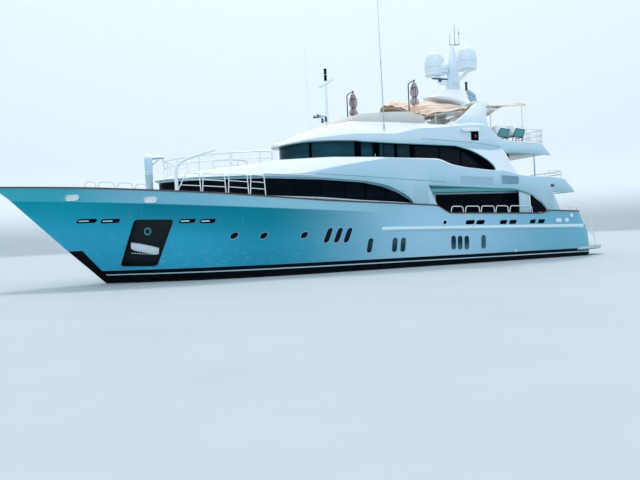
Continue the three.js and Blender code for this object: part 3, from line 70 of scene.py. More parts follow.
class YACHT_PG_sizes(bpy.types.PropertyGroup):
    """Sizes, in metres of the real ship"""
    plank: length("Plank width", "Width of a teak plank", 0.075)
    rub_height: length("Rub rail height", "Height of the moulding along the hull's side", 0.30)
    hoop: length("Hoop radius", "Radius of the hoops on the cap rail", 0.034)
    rail: length("Rail radius", "Radius of the deck rails", 0.034)
    sag: length("Awning sag", "How far the forward awning sags between its hoops", 0.09)
    folds: length("Awning folds", "Depth of the forward awning's folds", 0.05)
    weave: length("Weave", "Spacing of the canvas threads", 0.018)
    louvres: IntProperty(name="Louvres", description="Slats in each louvre panel", default=7, min=1, max=12)


class YACHT_PG_colours(bpy.types.PropertyGroup):
    """Colours, as linear light"""
    # Hull colours: painted sea and sky reflection on the hull's paint, with painted shade under the knuckle
    hull_deep: tint("Hull, flare", "Hull under the knuckle amidships", (0.0005, 0.21, 0.30))
    hull_bow: tint("Hull, bow", "Hull under the knuckle at the bow", (0.001, 0.31, 0.40))
    hull_low: tint("Hull, low", "Hull low down on the bow", (0.030, 0.39, 0.60))
    hull_aft: tint("Hull, aft", "Palest part of the hull, aft of amidships", (0.34, 0.60, 0.77))
    hull_stern: tint("Hull, stern", "Hull at the stern", (0.17, 0.45, 0.60))
    boot: tint("Boot line", "Line in the black along the waterline", (0.42, 0.66, 0.78))
    # Painted light and shade on the white paint: white where faces look up, bluer on upright sides
    top_white: tint("White, tops", "Houses and plates where they face the sky", (0.86, 0.92, 0.96))
    side_white: tint("White, sides", "Upright sides of the upper houses", (0.56, 0.73, 0.86))
    teak: tint("Teak", "Paler tone of the decks' planks", (0.58, 0.40, 0.24))
    wood: tint("Varnished wood", "Paler tone of the cap rail", (0.10, 0.036, 0.018))
    # Painted reflection: colour of the soft bands in the lounge's panes
    glass: tint("Glass", "Tone of the lounge's panes", (0.010, 0.085, 0.120))
    awning: tint("Forward awning", "Cloth of the forward awning", (0.97, 0.86, 0.76))
    awning_aft: tint("Aft awning", "Cloth of the after awning", (0.82, 0.70, 0.55))
    parasol: tint("Parasols", "Cloth of the furled parasols", (0.62, 0.55, 0.58))


def size(name):
    return getattr(bpy.context.scene.yacht_sizes, name)


def colour_of(tone):
    """A colour as four numbers, given by its name in the panel or as three numbers."""
    if isinstance(tone, str):
        tone = getattr(bpy.context.scene.yacht_colours, tone)
    return (*tone, 1.0)


SHIP = 0.5          # metres of the model for one metre of the ship
ROOT = "yacht"      # the body that carries everything that doesn't move
SIDES = (("port", 1), ("starboard", -1))
UPPER_AFT = 5.42    # heights of the decks
UPPER_FWD = 6.78
SUN_AFT = 8.25
SUN_FWD = 9.30


# Curves in x, as the CAD source has them

def line(*rows):
    """Straight lines through rows of x and value, with x rising."""
    def at(x):
        if x <= rows[0][0]:
            return rows[0][1]
        for (x0, v0), (x1, v1) in zip(rows, rows[1:]):
            if x < x1:
                return v0 + (v1 - v0) * (x - x0) / (x1 - x0)
        return rows[-1][1]
    return at


def curve(*rows):
    """Smooth curve through rows of x and value, with x rising."""
    last = len(rows) - 1
    slopes = []
    for i in range(len(rows)):
        a, b = rows[max(i - 1, 0)], rows[min(i + 1, last)]
        slopes.append((b[1] - a[1]) / (b[0] - a[0]))

    def at(x):
        if x <= rows[0][0]:
            return rows[0][1]
        if x >= rows[last][0]:
            return rows[last][1]
        i = next(k for k, row in enumerate(rows) if row[0] > x) - 1
        span = rows[i + 1][0] - rows[i][0]
        t = (x - rows[i][0]) / span
        rise = t * t * (3 - 2 * t)
        start = t * (1 - t) ** 2 * span * slopes[i]
        end = -t * t * (1 - t) * span * slopes[i + 1]
        return rows[i][1] * (1 - rise) + rows[i + 1][1] * rise + start + end
    return at


def eased(shape, reach, steps=6):
    """The same curve with its corners rounded over a reach each way."""
    offsets = [reach * (2 * k / steps - 1) for k in range(steps + 1)]
    return lambda x: sum(shape(x + step) for step in offsets) / len(offsets)


def turns(count):
    """Angles evenly round a circle."""
    return [tau * k / count for k in range(count)]


def circle(x, y, z, radius, count):
    """Level ring of points round a centre."""
    return [(x + radius * cos(a), y + radius * sin(a), z) for a in turns(count)]


def both_sides(points):
    """Points on port, then their mirror images back again, those on the middle line only once."""
    return points + [(x, -y, *z) for x, y, *z in reversed(points) if y > 0.001]


def clamp(value, low=0.0, high=1.0):
    return min(max(value, low), high)


# Hull lines

STEM_FOOT = 15.76       # x of the stem at the waterline
STEM_RAKE = 1.03        # x gained for each metre of height along the stem
STEM_HEAD = 6.28        # height of the stem's head
STEM_HALF = 0.05
QUARTER = 0.9           # length of the rounded corner at the stern, and how far it comes in
QUARTER_IN = 0.62
KEEL_AFT = -20.2
KEEL_LONG = 34.1
TRANSOM_WL = -20.70
TRANSOM_TOP = -19.62
BULWARK_THICK = 0.16
DECK_STEP = -5.2        # x of the step up to the raised foredeck
DECK_AFT = 2.75
CAP_INSET = 0.08        # from the hull's edge in to the middle of the cap

sheer_z = eased(line((-19.62, 3.47), (-16.25, 3.62), (-15.6, 3.42), (-7.3, 3.68), (-6.45, 4.24),
                     (-4.2, 4.4), (1.8, 4.78), (9.1, 5.42), (13.3, 5.72), (16.7, 5.97), (22.2, 6.3)), 0.22)
keel_z = curve((-20.2, -0.72), (-16, -1.0), (-10, -1.6), (-4, -2.0), (6, -2.1), (11, -1.85), (13.9, -1.1))


def stem_x(z):
    return STEM_FOOT + STEM_RAKE * z


def bow(x, nose, full, power):
    return 1 - (1 - clamp((nose - x) / (nose - full))) ** power


def quarter(x, end):
    t = clamp((end + QUARTER - x) / QUARTER)
    return QUARTER_IN * (1 - sqrt(1 - t * t))


def stern(x, half, drop):
    return half - drop * max(0.0, (-8 - x) / 12) ** 1.6


def sheer_b(x):
    return stern(x, 4.62, 0.32) * bow(x, 22.22, 3, 3) - quarter(x, TRANSOM_TOP)


def water_b(x):
    return stern(x, 4.38, 0.35) * bow(x, STEM_FOOT, 1, 2.4) - quarter(x, TRANSOM_WL)


# Level lines of the hull: x aft, x at the stem, height and half breadth along it
LEVELS = [
    (-20.2, 14.35, lambda x: keel_z(x) * 0.86, lambda x: water_b(x * 1.04) * 0.6),
    (-20.5, 15.05, lambda x: keel_z(x) * 0.5, lambda x: water_b(x * 1.02) * 0.93),
    (TRANSOM_WL, STEM_FOOT, lambda x: 0.0, water_b),
    (-20.68, stem_x(1.0), lambda x: 1.0,
     lambda x: stern(x, 4.46, 0.34) * bow(x, stem_x(1.0), 1.2, 2.45) - quarter(x, -20.68)),
    (-20.4, stem_x(2.3), lambda x: 2.3,
     lambda x: stern(x, 4.52, 0.33) * bow(x, stem_x(2.3), 1.6, 2.55) - quarter(x, -20.4)),
    (-20.05, stem_x(5.42), lambda x: sheer_z(x) - 0.68,
     lambda x: stern(x, 4.56, 0.32) * bow(x, stem_x(5.42), 2.4, 2.8) - quarter(x, -20.05)),
    (TRANSOM_TOP, stem_x(STEM_HEAD), sheer_z, sheer_b),
]


def hull_side(x, z):
    """Half breadth of the hull's side at a place."""
    rows = [(height(x), 0.0 if x > stem else max(half(x), 0.0)) for _, stem, height, half in LEVELS]
    return line(*rows)(z)


def deck_z(x):
    if x < DECK_STEP:
        return DECK_AFT
    return line((-5.2, 3.5), (0, 3.9), (6, 4.4), (12, 4.85), (21, 5.3))(x)


def inner_b(x, z):
    return max(hull_side(x, z) - BULWARK_THICK, 0.03)


# Gathering points and faces into pieces

class Form:
    """Points and faces of a piece in ship metres, gathered before they become one mesh."""

    def __init__(self):
        self.points = []
        self.faces = []

    def add(self, points, faces):
        base = len(self.points)
        self.points += [tuple(p) for p in points]
        self.faces += [tuple(base + i for i in face) for face in faces]
        return self

    def loft(self, rings, closed=False, caps=True, open_ring=False):
        """Skin through like rings, its ends filled flat unless it closes on itself."""
        n = len(rings[0])
        faces = []
        for r in range(len(rings) if closed else len(rings) - 1):
            here, there = r * n, (r + 1) % len(rings) * n
            for i in range(n - 1 if open_ring else n):
                j = (i + 1) % n
                faces.append((here + i, here + j, there + j, there + i))
        if caps and not closed:
            faces.append(tuple(range(n)))
            faces.append(tuple((len(rings) - 1) * n + i for i in range(n)))
        return self.add([p for ring in rings for p in ring], faces)

    def plate(self, outline, *across):
        """Flat plate of an outline x, z, from one y to the next."""
        return self.loft([[(x, y, z) for x, z in outline] for y in across])

    def box(self, low, high):
        (x0, x1), (y0, y1), (z0, z1) = (sorted(pair) for pair in zip(low, high))
        return self.loft([[(x, y0, z0), (x, y1, z0), (x, y1, z1), (x, y0, z1)] for x in (x0, x1)])

    def tube(self, path, radius, sides=12, end_radius=None, closed=False):
        """Round bar along a path of points, mitred at its bends."""
        at = [Vector(p) for p in path]
        last = len(at) - 1
        end_radius = radius if end_radius is None else end_radius
        legs = [(b - a).normalized() for a, b in zip(at, at[1:])]
        if closed:
            legs.append((at[0] - at[-1]).normalized())
        right = legs[0].cross(Vector((1, 0, 0) if abs(legs[0].z) > 0.9 else (0, 0, 1))).normalized()
        rings = []
        for i, point in enumerate(at):
            before = legs[i - 1] if closed or i else legs[0]
            after = legs[i] if i < len(legs) else legs[-1]
            along = (before + after).normalized()
            right = (right - along * right.dot(along)).normalized()
            up = right.cross(along)
            reach = 1 / max(along.dot(before), 0.6)
            r = radius + (end_radius - radius) * i / last
            rings.append([point + (right * cos(a) + up * sin(a)) * r * (1 + (reach - 1) * 0.5)
                          for a in turns(sides)])
        return self.loft(rings, closed=closed)

    def turned(self, centre, rows, sides=32, axis=(0, 0, 1)):
        """Turned body: rows of radius and height along the axis from the centre."""
        along = Vector(axis).normalized()
        right = along.cross(Vector((1, 0, 0) if abs(along.x) < 0.9 else (0, 1, 0))).normalized()
        up = along.cross(right)
        ways = [right * cos(a) + up * sin(a) for a in turns(sides)]
        return self.loft([[Vector(centre) + along * height + way * max(radius, 1e-4) for way in ways]
                          for radius, height in rows])

    def mesh(self, name, weld=1e-4, bevel=0.0):
        shape = bmesh.new()
        corners = [shape.verts.new(Vector(p) * SHIP) for p in self.points]
        for face in self.faces:
            if len(set(face)) > 2:
                shape.faces.new([corners[i] for i in dict.fromkeys(face)])
        bmesh.ops.remove_doubles(shape, verts=shape.verts, dist=weld * SHIP)
        bmesh.ops.dissolve_degenerate(shape, dist=weld * SHIP * 0.5, edges=shape.edges)
        bmesh.ops.recalc_face_normals(shape, faces=shape.faces)
        if bevel:
            sharp = [e for e in shape.edges if len(e.link_faces) == 2 and e.calc_face_angle(0) > 0.6]
            bmesh.ops.bevel(shape, geom=sharp, offset=bevel * SHIP, segments=2, affect="EDGES", profile=0.5,
                            clamp_overlap=True)
            bmesh.ops.recalc_face_normals(shape, faces=shape.faces)
        made = bpy.data.meshes.new(name)
        shape.to_mesh(made)
        shape.free()
        return made


def shaded(mesh, angle=32):
    """Smooth shading, with edges sharper than the angle kept."""
    mesh.shade_smooth()
    mesh.set_sharp_from_angle(angle=radians(angle))
    return mesh


def linked(name, data):
    """An object of the data, put in the scene."""
    thing = bpy.data.objects.new(name, data)
    bpy.context.scene.collection.objects.link(thing)
    return thing


def show(name, form, coat, body=ROOT, replaces=(), angle=40, bevel=0.0):
    """A finished piece from a form or a mesh: shaded, painted, and riding on its body."""
    mesh = form.mesh(name, bevel=bevel) if isinstance(form, Form) else form
    mesh.name = name
    mesh.materials.clear()
    mesh.materials.append(finish(coat))
    piece = linked(name, shaded(mesh, angle))
    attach(piece, body)
    if replaces:
        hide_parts(*replaces)
    return piece


made_meshes = {}    # meshes of pieces that later ones are set on


def plain_mesh(thing, name):
    """What an object with modifiers evaluates to, as a plain mesh, and the object is removed."""
    bpy.context.view_layer.update()
    graph = bpy.context.evaluated_depsgraph_get()
    made = bpy.data.meshes.new_from_object(thing.evaluated_get(graph))
    made.name = name
    bpy.data.objects.remove(thing)
    return made


def carved(mesh, cutters):
    """The mesh with every cutter form taken out of it."""
    body = linked("carved_body", mesh)
    tools = []
    for i, cutter in enumerate(cutters):
        tools.append(linked(f"cutter_{i}", cutter.mesh(f"cutter_{i}")))
        modifier = body.modifiers.new(f"cut_{i}", "BOOLEAN")
        modifier.operation = "DIFFERENCE"
        modifier.solver = "EXACT"
        modifier.object = tools[-1]
    made = plain_mesh(body, mesh.name)
    for tool in tools:
        bpy.data.objects.remove(tool)
    return made


class Surface:
    """Outside of a mesh, for setting pieces on it. Lengths are in ship metres."""

    def __init__(self, mesh):
        self.tree = BVHTree.FromPolygons([v.co / SHIP for v in mesh.vertices],
                                         [p.vertices for p in mesh.polygons])

    def beside(self, x, z, side):
        """Point and outward normal of the surface, seen from the ship's side."""
        way = Vector((0, -side, 0))
        point, normal, _, _ = self.tree.ray_cast(Vector((x, side * 8, z)), way)
        if point is None:
            raise RuntimeError(f"nothing to set a piece on at {x}, {z}")
        return point, normal if normal.dot(way) < 0 else -normal


def strip_on(form, surface, points, width, proud, side, sink=0.02):
    """Flat moulding along points x, z on the outside of a surface, with its edges eased."""
    rings = []
    at = [Vector((x, z)) for x, z in points]
    for i, here in enumerate(at):
        along = (at[min(i + 1, len(at) - 1)] - at[max(i - 1, 0)]).normalized()
        point, normal = surface.beside(here.x, here.y, side)
        lift = Vector((normal.x, normal.y, 0)).normalized()
        sweep = Vector((-along.y, 0, along.x)) * width / 2
        rings.append([point + sweep * out + lift * up for out, up in
                      ((-1, -sink), (-1, proud * 0.3), (-0.6, proud), (0.6, proud), (1, proud * 0.3),
                       (1, -sink))])
    return form.loft(rings)


# Node trees

def maths(operation, swapped=False):
    """Method of a wire that adds a Math node to it and to what it is put together with."""
    def method(wire, *others):
        values = (*others, wire) if swapped else (wire, *others)
        return wire.tree.node("ShaderNodeMath", {"operation": operation}, dict(enumerate(values)))
    return method


class Wire:
    """An output of a node tree that Python's operators work on."""
    __add__ = __radd__ = maths("ADD")
    __sub__ = maths("SUBTRACT")
    __rsub__ = maths("SUBTRACT", swapped=True)
    __mul__ = __rmul__ = maths("MULTIPLY")
    __truediv__ = maths("DIVIDE")
    absolute = maths("ABSOLUTE")
    fraction = maths("FRACT")
    floor = maths("FLOOR")

    def __init__(self, tree, socket):
        self.tree = tree
        self.socket = socket

    def out(self, name):
        """Another output of the same node."""
        return Wire(self.tree, self.socket.node.outputs[name])


class Tree:
    """A node tree, with one method that adds any node to it."""

    def __init__(self, nodes):
        self.tree = nodes

    def node(self, kind, settings=None, values=None, output=0):
        """Adds a node: its type, its settings, and the values or wires of its sockets."""
        made = self.tree.nodes.new(kind)
        for key, value in (settings or {}).items():
            setattr(made, key, value)
        for key, value in (values or {}).items():
            if isinstance(value, Wire):
                self.tree.links.new(value.socket, made.inputs[key])
            else:
                made.inputs[key].default_value = value
        return Wire(self, made.outputs[output]) if made.outputs else made


class Finish(Tree):
    """One procedural material. Its patterns read Object coordinates, in ship metres."""

    def __init__(self, name):
        self.material = bpy.data.materials.new(name)
        self.material.use_nodes = True
        super().__init__(self.material.node_tree)
        self.tree.nodes.clear()
        centre = self.node("ShaderNodeTexCoord", output="Object")
        self.place = self.node("ShaderNodeVectorMath", {"operation": "SCALE"},
                               {0: centre, "Scale": 1 / SHIP})
        parts = self.node("ShaderNodeSeparateXYZ", None, {0: self.place})
        self.x, self.y, self.z = parts, parts.out("Y"), parts.out("Z")

    def facing(self):
        """How far a face looks up: 1 is level, 0 upright and -1 looks straight down."""
        normal = self.node("ShaderNodeNewGeometry", output="Normal")
        return self.node("ShaderNodeSeparateXYZ", None, {0: normal}).out("Z")

    def span(self, value, low, high, start=0.0, end=1.0):
        """Smooth step from the start below low to the end above high."""
        return self.node("ShaderNodeMapRange", {"interpolation_type": "SMOOTHSTEP"},
                         {0: value, 1: low, 2: high, 3: start, 4: end})

    def step(self, value, edge, soft=0.004):
        """0 below the edge and 1 above it."""
        return self.span(value, edge - soft, edge + soft)

    def stretched(self, scale):
        return self.node("ShaderNodeMapping", None, {"Vector": self.place, "Scale": scale})

    def noise(self, scale, detail=3.0, stretch=(1, 1, 1), roughness=0.5):
        return self.node("ShaderNodeTexNoise", None, {"Vector": self.stretched(stretch), "Scale": scale,
                                                      "Detail": detail, "Roughness": roughness})

    def blend(self, factor, first, second):
        """Colour that goes from the first to the second."""
        first, second = (tone if isinstance(tone, Wire) else colour_of(tone) for tone in (first, second))
        return self.node("ShaderNodeMix", {"data_type": "RGBA"}, {0: factor, 6: first, 7: second}, output=2)

    def shade(self, colour, roughness, bump=None, depth=0.002, **surface):
        """Sets the shader. Other sockets are given by name, with _ for a space."""
        values = {"Base Color": colour, "Roughness": roughness}
        if bump is not None:
            values["Normal"] = self.node("ShaderNodeBump", None,
                                         {"Height": bump, "Distance": depth * SHIP, "Strength": 1.0})
        for key, value in surface.items():
            values[key.replace("_", " ")] = value
        shader = self.node("ShaderNodeBsdfPrincipled", None, values)
        self.node("ShaderNodeOutputMaterial", None, {"Surface": shader})
        return self.material


# Finishes

BOOT_LINE = (0.466, 0.00658)    # height of the white line amidships, and its rise for each metre forward
BOOT_HALF = 0.033               # half the white line's width
BOOT_TOP = 0.27                 # black above the white line
KNUCKLE = (4.035, 0.0665)       # height of the knuckle amidships, and its rise for each metre forward
BLACK_PAINT = (0.0015, 0.0025, 0.004)
PLANK_RUN = 4.0                 # length of a teak plank


def teak_over(paint, colour, rough, mask):
    """Laid teak with black caulking where the mask is 1: colour, roughness and bump height."""
    row = paint.y / size("plank")
    index = row.floor()
    shift = paint.node("ShaderNodeTexWhiteNoise", {"noise_dimensions": "1D"}, {"W": index})
    seam = (row.fraction() - 0.5).absolute()
    butt = ((paint.x / PLANK_RUN + shift * 7.0).fraction() - 0.5).absolute()
    caulk = paint.node("ShaderNodeMath", {"operation": "MAXIMUM"},
                       {0: paint.step(seam, 0.465, 0.012), 1: paint.step(butt, 0.4988, 0.0006)})
    grain = paint.noise(9.0, 4.0, (0.5, 7.0, 7.0))
    tone = paint.blend(shift, (0.42, 0.27, 0.15), "teak")
    tone = paint.blend(grain * 0.5, tone, (0.66, 0.50, 0.33))
    wood = paint.blend(caulk, tone, (0.02, 0.018, 0.016))
    return (paint.blend(mask, colour, wood),
            paint.node("ShaderNodeMix", None, {0: mask, 2: rough, 3: 0.62}), mask * (1 - caulk) * 0.35)


def deck_mask(paint):
    """Main deck's top: level faces of the hull inside the bulwarks."""
    level = paint.step(paint.facing(), 0.93, 0.02)
    aft = paint.step((paint.z - DECK_AFT).absolute() * -1, -0.03, 0.002)
    aft = aft * paint.step(paint.x * -1, -DECK_STEP - 0.1, 0.01)
    fore = paint.step(paint.z, 3.4, 0.01) * paint.step(paint.x, DECK_STEP - 0.1, 0.01)
    inside = paint.step(paint.z * -1, -5.45, 0.01)
    return level * (aft + fore * inside)


def hull_paint(name):
    """Gloss paint with painted sea and sky reflection: painted shade in deep teal under the flare and the
    knuckle, paler painted reflection above it and towards the stern, and painted light on faces that look
    up.
    """
    paint = Finish(name)
    # Painted shade and reflection: deep teal under the knuckle's flare, turning to paler painted sea and
    # sky reflection lower down and aft
    knuckle = paint.x * KNUCKLE[1] + KNUCKLE[0]
    drop = (knuckle - paint.z) / 3.4
    drift = paint.noise(0.35, 3.0, (0.6, 1, 1.6)) * 0.24 - 0.12
    deep = paint.blend(paint.span(paint.x, 12.0, 18.0), "hull_deep", "hull_bow")
    low = paint.blend(paint.span(paint.x, 6.0, 12.0), (0.018, 0.29, 0.44), "hull_low")
    body = paint.blend(paint.span(drop + drift, 0.02, 0.70), deep, low)
    body = paint.blend(paint.span(paint.x + drift * 8, 6.0, -6.0), body, "hull_aft")
    body = paint.blend(paint.span(paint.x, -7.0, -18.0), body, "hull_stern")
    # Painted light: the bulwark panel above the knuckle is paler, as the way it faces catches more sky
    panel = paint.blend(paint.span(paint.x, 4.0, 12.0), (0.27, 0.55, 0.68), (0.20, 0.50, 0.66))
    panel = paint.blend(paint.span(paint.x, 14.0, 19.0), panel, (0.05, 0.42, 0.54))
    over = paint.step(paint.z - knuckle, 0.0, 0.03) * paint.span(paint.x, -4.2, -1.5)
    body = paint.blend(over, body, panel)
    # Painted glints of reflected light low on the hull
    glint = paint.noise(1.5, 6.0, (1.2, 1.2, 3.4), 0.65)
    below = paint.span(drop, 0.45, 1.0) * paint.span(glint, 0.52, 0.72, 0.0, 0.34)
    body = paint.blend(below, body, (0.25, 0.56, 0.68))
    salt = paint.noise(1.1, 5.0, (1.6, 1.6, 0.25), 0.6)
    body = paint.blend(paint.span(salt, 0.56, 0.75, 0.0, 0.05), body, (0.40, 0.60, 0.70))
    # Painted light: faces that look up turn white
    body = paint.blend(paint.span(paint.facing(), 0.15, 0.5), body, "top_white")
    line_z = paint.x * BOOT_LINE[1] + BOOT_LINE[0]
    above = paint.z - line_z
    in_line = 1 - paint.step(above.absolute(), BOOT_HALF, 0.004)
    # The black runs up at the stem as a chafing patch
    slant = paint.z - 0.78 - (paint.x - 15.99) * 1.17
    patch = paint.step(slant * -1, 0.0, 0.02) * paint.step(paint.z * -1, -2.19, 0.02)
    patch = patch * paint.step(paint.x, 15.3, 0.02)
    bare = paint.step(above, BOOT_TOP, 0.006) * (1 - patch)
    ahead = paint.step(paint.x - paint.z * 1.03, 15.2, 0.02)
    boot = paint.blend(in_line * (1 - ahead), BLACK_PAINT, "boot")
    colour = paint.blend(bare, boot, body)
    weed = paint.noise(3.0, 4.0) * 0.12
    wet = paint.step(paint.z - weed, 0.02, 0.05)
    colour = paint.blend(wet, (0.008, 0.012, 0.014), colour)
    colour, rough, height = teak_over(paint, colour, 0.16 + weed * 0.3, deck_mask(paint))
    fair = paint.noise(0.9, 2.0, (1, 1, 1.6)) * 0.6
    return paint.shade(colour, rough, fair + height, 0.006, Specular_IOR_Level=0.07, Coat_Weight=0.03,
                       Coat_Roughness=0.05)


def house_paint(name, *levels):
    """Gloss white of the houses with painted light and shade: bluer low down and on upright sides, white
    where faces look up and painted shade where they look down, with laid teak on level faces at the given
    heights.
    """
    paint = Finish(name)
    # Painted light and shade by the way a face looks: bluer low down and on upright sides, white where it
    # looks up, and painted shade where it looks down, teal low down and pale high up
    up = paint.facing() + (paint.noise(0.35, 2.0) * 0.10 - 0.05)
    low = paint.blend(paint.span(paint.z, 4.4, 6.4), (0.38, 0.56, 0.68), (0.42, 0.64, 0.80))
    side = paint.blend(paint.span(paint.z, 7.6, 9.2), low, "side_white")
    shade = paint.blend(paint.step(paint.z, 9.0, 0.2), (0.10, 0.44, 0.46), (0.84, 0.91, 0.94))
    colour = paint.blend(paint.span(up, -0.45, -0.04), shade, side)
    colour = paint.blend(paint.span(up, 0.02, 0.40), colour, "top_white")
    grime = paint.noise(2.2, 5.0, (1, 1, 0.2), 0.6)
    colour = paint.blend(paint.span(grime, 0.60, 0.80, 0.0, 0.12), colour, (0.50, 0.60, 0.64))
    rough = paint.noise(5.0, 2.0) * 0.06 + 0.19
    height = paint.noise(1.3, 2.0) * 0.5
    if levels:
        near = paint.z * 0.0
        for level in levels:
            near = near + paint.step((paint.z - level).absolute() * -1, -0.012, 0.002)
        mask = near * paint.step(paint.facing(), 0.97, 0.01)
        colour, rough, extra = teak_over(paint, colour, rough, mask)
        height = height + extra
        # Painted shade: teal on the upper deck's edge over the recess aft
        recess = paint.step(paint.z * -1, -5.46, 0.01) * paint.step(paint.x * -1, 5.7, 0.02)
        colour = paint.blend(recess * paint.step(paint.x, -15.2, 0.02), colour, (0.06, 0.32, 0.35))
    under = paint.step(paint.facing() * -1, 0.93, 0.02) * paint.span(paint.z, 7.4, 7.6)
    under = under * paint.step(paint.z * -1, -9.6, 0.1)
    colour = paint.blend(under * 0.6, colour, (0.66, 0.60, 0.50))
    return paint.shade(colour, rough, height, 0.004, Specular_IOR_Level=0.35, Coat_Weight=0.25,
                       Coat_Roughness=0.05)


def dark_glass(name, colour, glow, darker=None, amount=0.8, shine=0.08):
    """Dark panes with soft bands of painted reflection in the glow colour; darker is the x where they are
    black and where they aren't.
    """
    glass = Finish(name)
    # Painted reflection: soft bands where the panes take the glow colour
    bands = glass.noise(0.8, 3.0, (0.25, 0.25, 1.4))
    tint = glass.blend(glass.span(bands, 0.40, 0.72, 0.0, amount), colour, glow)
    if darker:
        tint = glass.blend(glass.span(glass.x, *darker), (0.001, 0.006, 0.012), tint)
    wave = glass.noise(0.6, 1.0)
    return glass.shade(tint, 0.05 + glass.noise(3.0) * 0.04, wave, 0.003, Specular_IOR_Level=shine)


def smoked_glass(name):
    glass = Finish(name)
    rise = glass.span(glass.z, 10.1, 11.1)
    tint = glass.blend(rise, (0.62, 0.66, 0.66), (0.86, 0.88, 0.86))
    return glass.shade(tint, 0.06 + glass.noise(4.0) * 0.03, glass.noise(0.9, 1.0), 0.002,
                       Transmission_Weight=0.35, IOR=1.1)


def varnished_wood(name):
    wood = Finish(name)
    grain = wood.noise(6.0, 5.0, (0.35, 5.0, 5.0), 0.6)
    rings = wood.noise(1.2, 2.0, (0.3, 2.0, 2.0))
    tone = wood.blend(grain, (0.035, 0.012, 0.006), "wood")
    tone = wood.blend(rings * 0.4, tone, (0.02, 0.007, 0.004))
    joint = wood.step(((wood.x / 2.6).fraction() - 0.5).absolute(), 0.4975, 0.0015)
    tone = wood.blend(joint, tone, (0.012, 0.008, 0.006))
    return wood.shade(tone, 0.16 + grain * 0.08, grain * 0.3 - joint, 0.002, Coat_Weight=0.25,
                      Coat_Roughness=0.06)


def polished_steel(name):
    steel = Finish(name)
    smear = steel.noise(5.0, 4.0, (1, 1, 2.0))
    tone = steel.blend(smear, (0.74, 0.76, 0.78), (0.90, 0.92, 0.93))
    spots = steel.span(steel.noise(28.0, 3.0), 0.70, 0.80, 0.0, 0.3)
    tone = steel.blend(spots, tone, (0.45, 0.36, 0.26))
    return steel.shade(tone, 0.14 + smear * 0.12, smear, 0.0006, Metallic=1.0)


def cast_bronze(name):
    bronze = Finish(name)
    film = bronze.noise(4.0, 4.0)
    tone = bronze.blend(film, (0.50, 0.30, 0.11), (0.68, 0.47, 0.20))
    tone = bronze.blend(bronze.span(bronze.noise(9.0), 0.58, 0.72, 0.0, 0.6), tone, (0.14, 0.30, 0.24))
    return bronze.shade(tone, 0.28 + film * 0.2, film, 0.003, Metallic=1.0)


def bottom_paint(name):
    paint = Finish(name)
    slime = paint.noise(2.0, 5.0, (1, 1, 1.5), 0.6)
    tone = paint.blend(paint.span(slime, 0.45, 0.72, 0.0, 0.7), (0.014, 0.018, 0.024),
                       (0.030, 0.045, 0.030))
    return paint.shade(tone, 0.55 + slime * 0.2, slime, 0.006)


def moulded(name, colour, roughness, worn, coat=0.0, shine=0.4):
    """Moulded or painted small parts: slight mottling, and a paler or darker wear tone."""
    part = Finish(name)
    mottle = part.noise(7.0, 4.0)
    tone = part.blend(part.span(mottle, 0.45, 0.75, 0.0, 0.45), colour, worn)
    return part.shade(tone, roughness + mottle * 0.12, part.noise(30.0, 2.0), 0.0008, Coat_Weight=coat,
                      Coat_Roughness=0.08, Specular_IOR_Level=shine)


def canvas(name, colour, shade, crease=(0.8, 2.2, 2.2)):
    """Woven cloth: crossing threads, soft creases with painted shade in them, and sun-faded patches."""
    cloth = Finish(name)
    weave = size("weave")
    warp = ((cloth.x / weave).fraction() - 0.5).absolute()
    weft = (((cloth.y + cloth.z) / weave).fraction() - 0.5).absolute()
    fold = cloth.noise(1.4, 4.0, crease, 0.55)
    fade = cloth.noise(0.5, 3.0)
    # Painted shade: the cloth darkens to the shade tone along its creases
    tone = cloth.blend(cloth.span(fold, 0.30, 0.70), shade, colour)
    faded = tuple(min(1.0, c * 1.2) for c in colour_of(colour)[:3])
    tone = cloth.blend(cloth.span(fade, 0.45, 0.75, 0.0, 0.3), tone, faded)
    tone = cloth.blend(warp * weft * 1.2, tone, shade)
    return cloth.shade(tone, 0.86 + fold * 0.1, fold * 3.0 + (warp + weft) * 0.25, 0.006,
                       Sheen_Weight=0.25, Sheen_Roughness=0.6)


def lamp_glass(name, colour, glow=0.1):
    lens = Finish(name)
    ribs = ((lens.z / 0.02).fraction() - 0.5).absolute()
    tone = lens.blend(ribs, colour, tuple(c * 0.5 for c in colour))
    return lens.shade(tone, 0.12 + ribs * 0.1, ribs, 0.002, Emission_Color=(*colour, 1.0),
                      Emission_Strength=glow * 0.2, Coat_Weight=0.8)


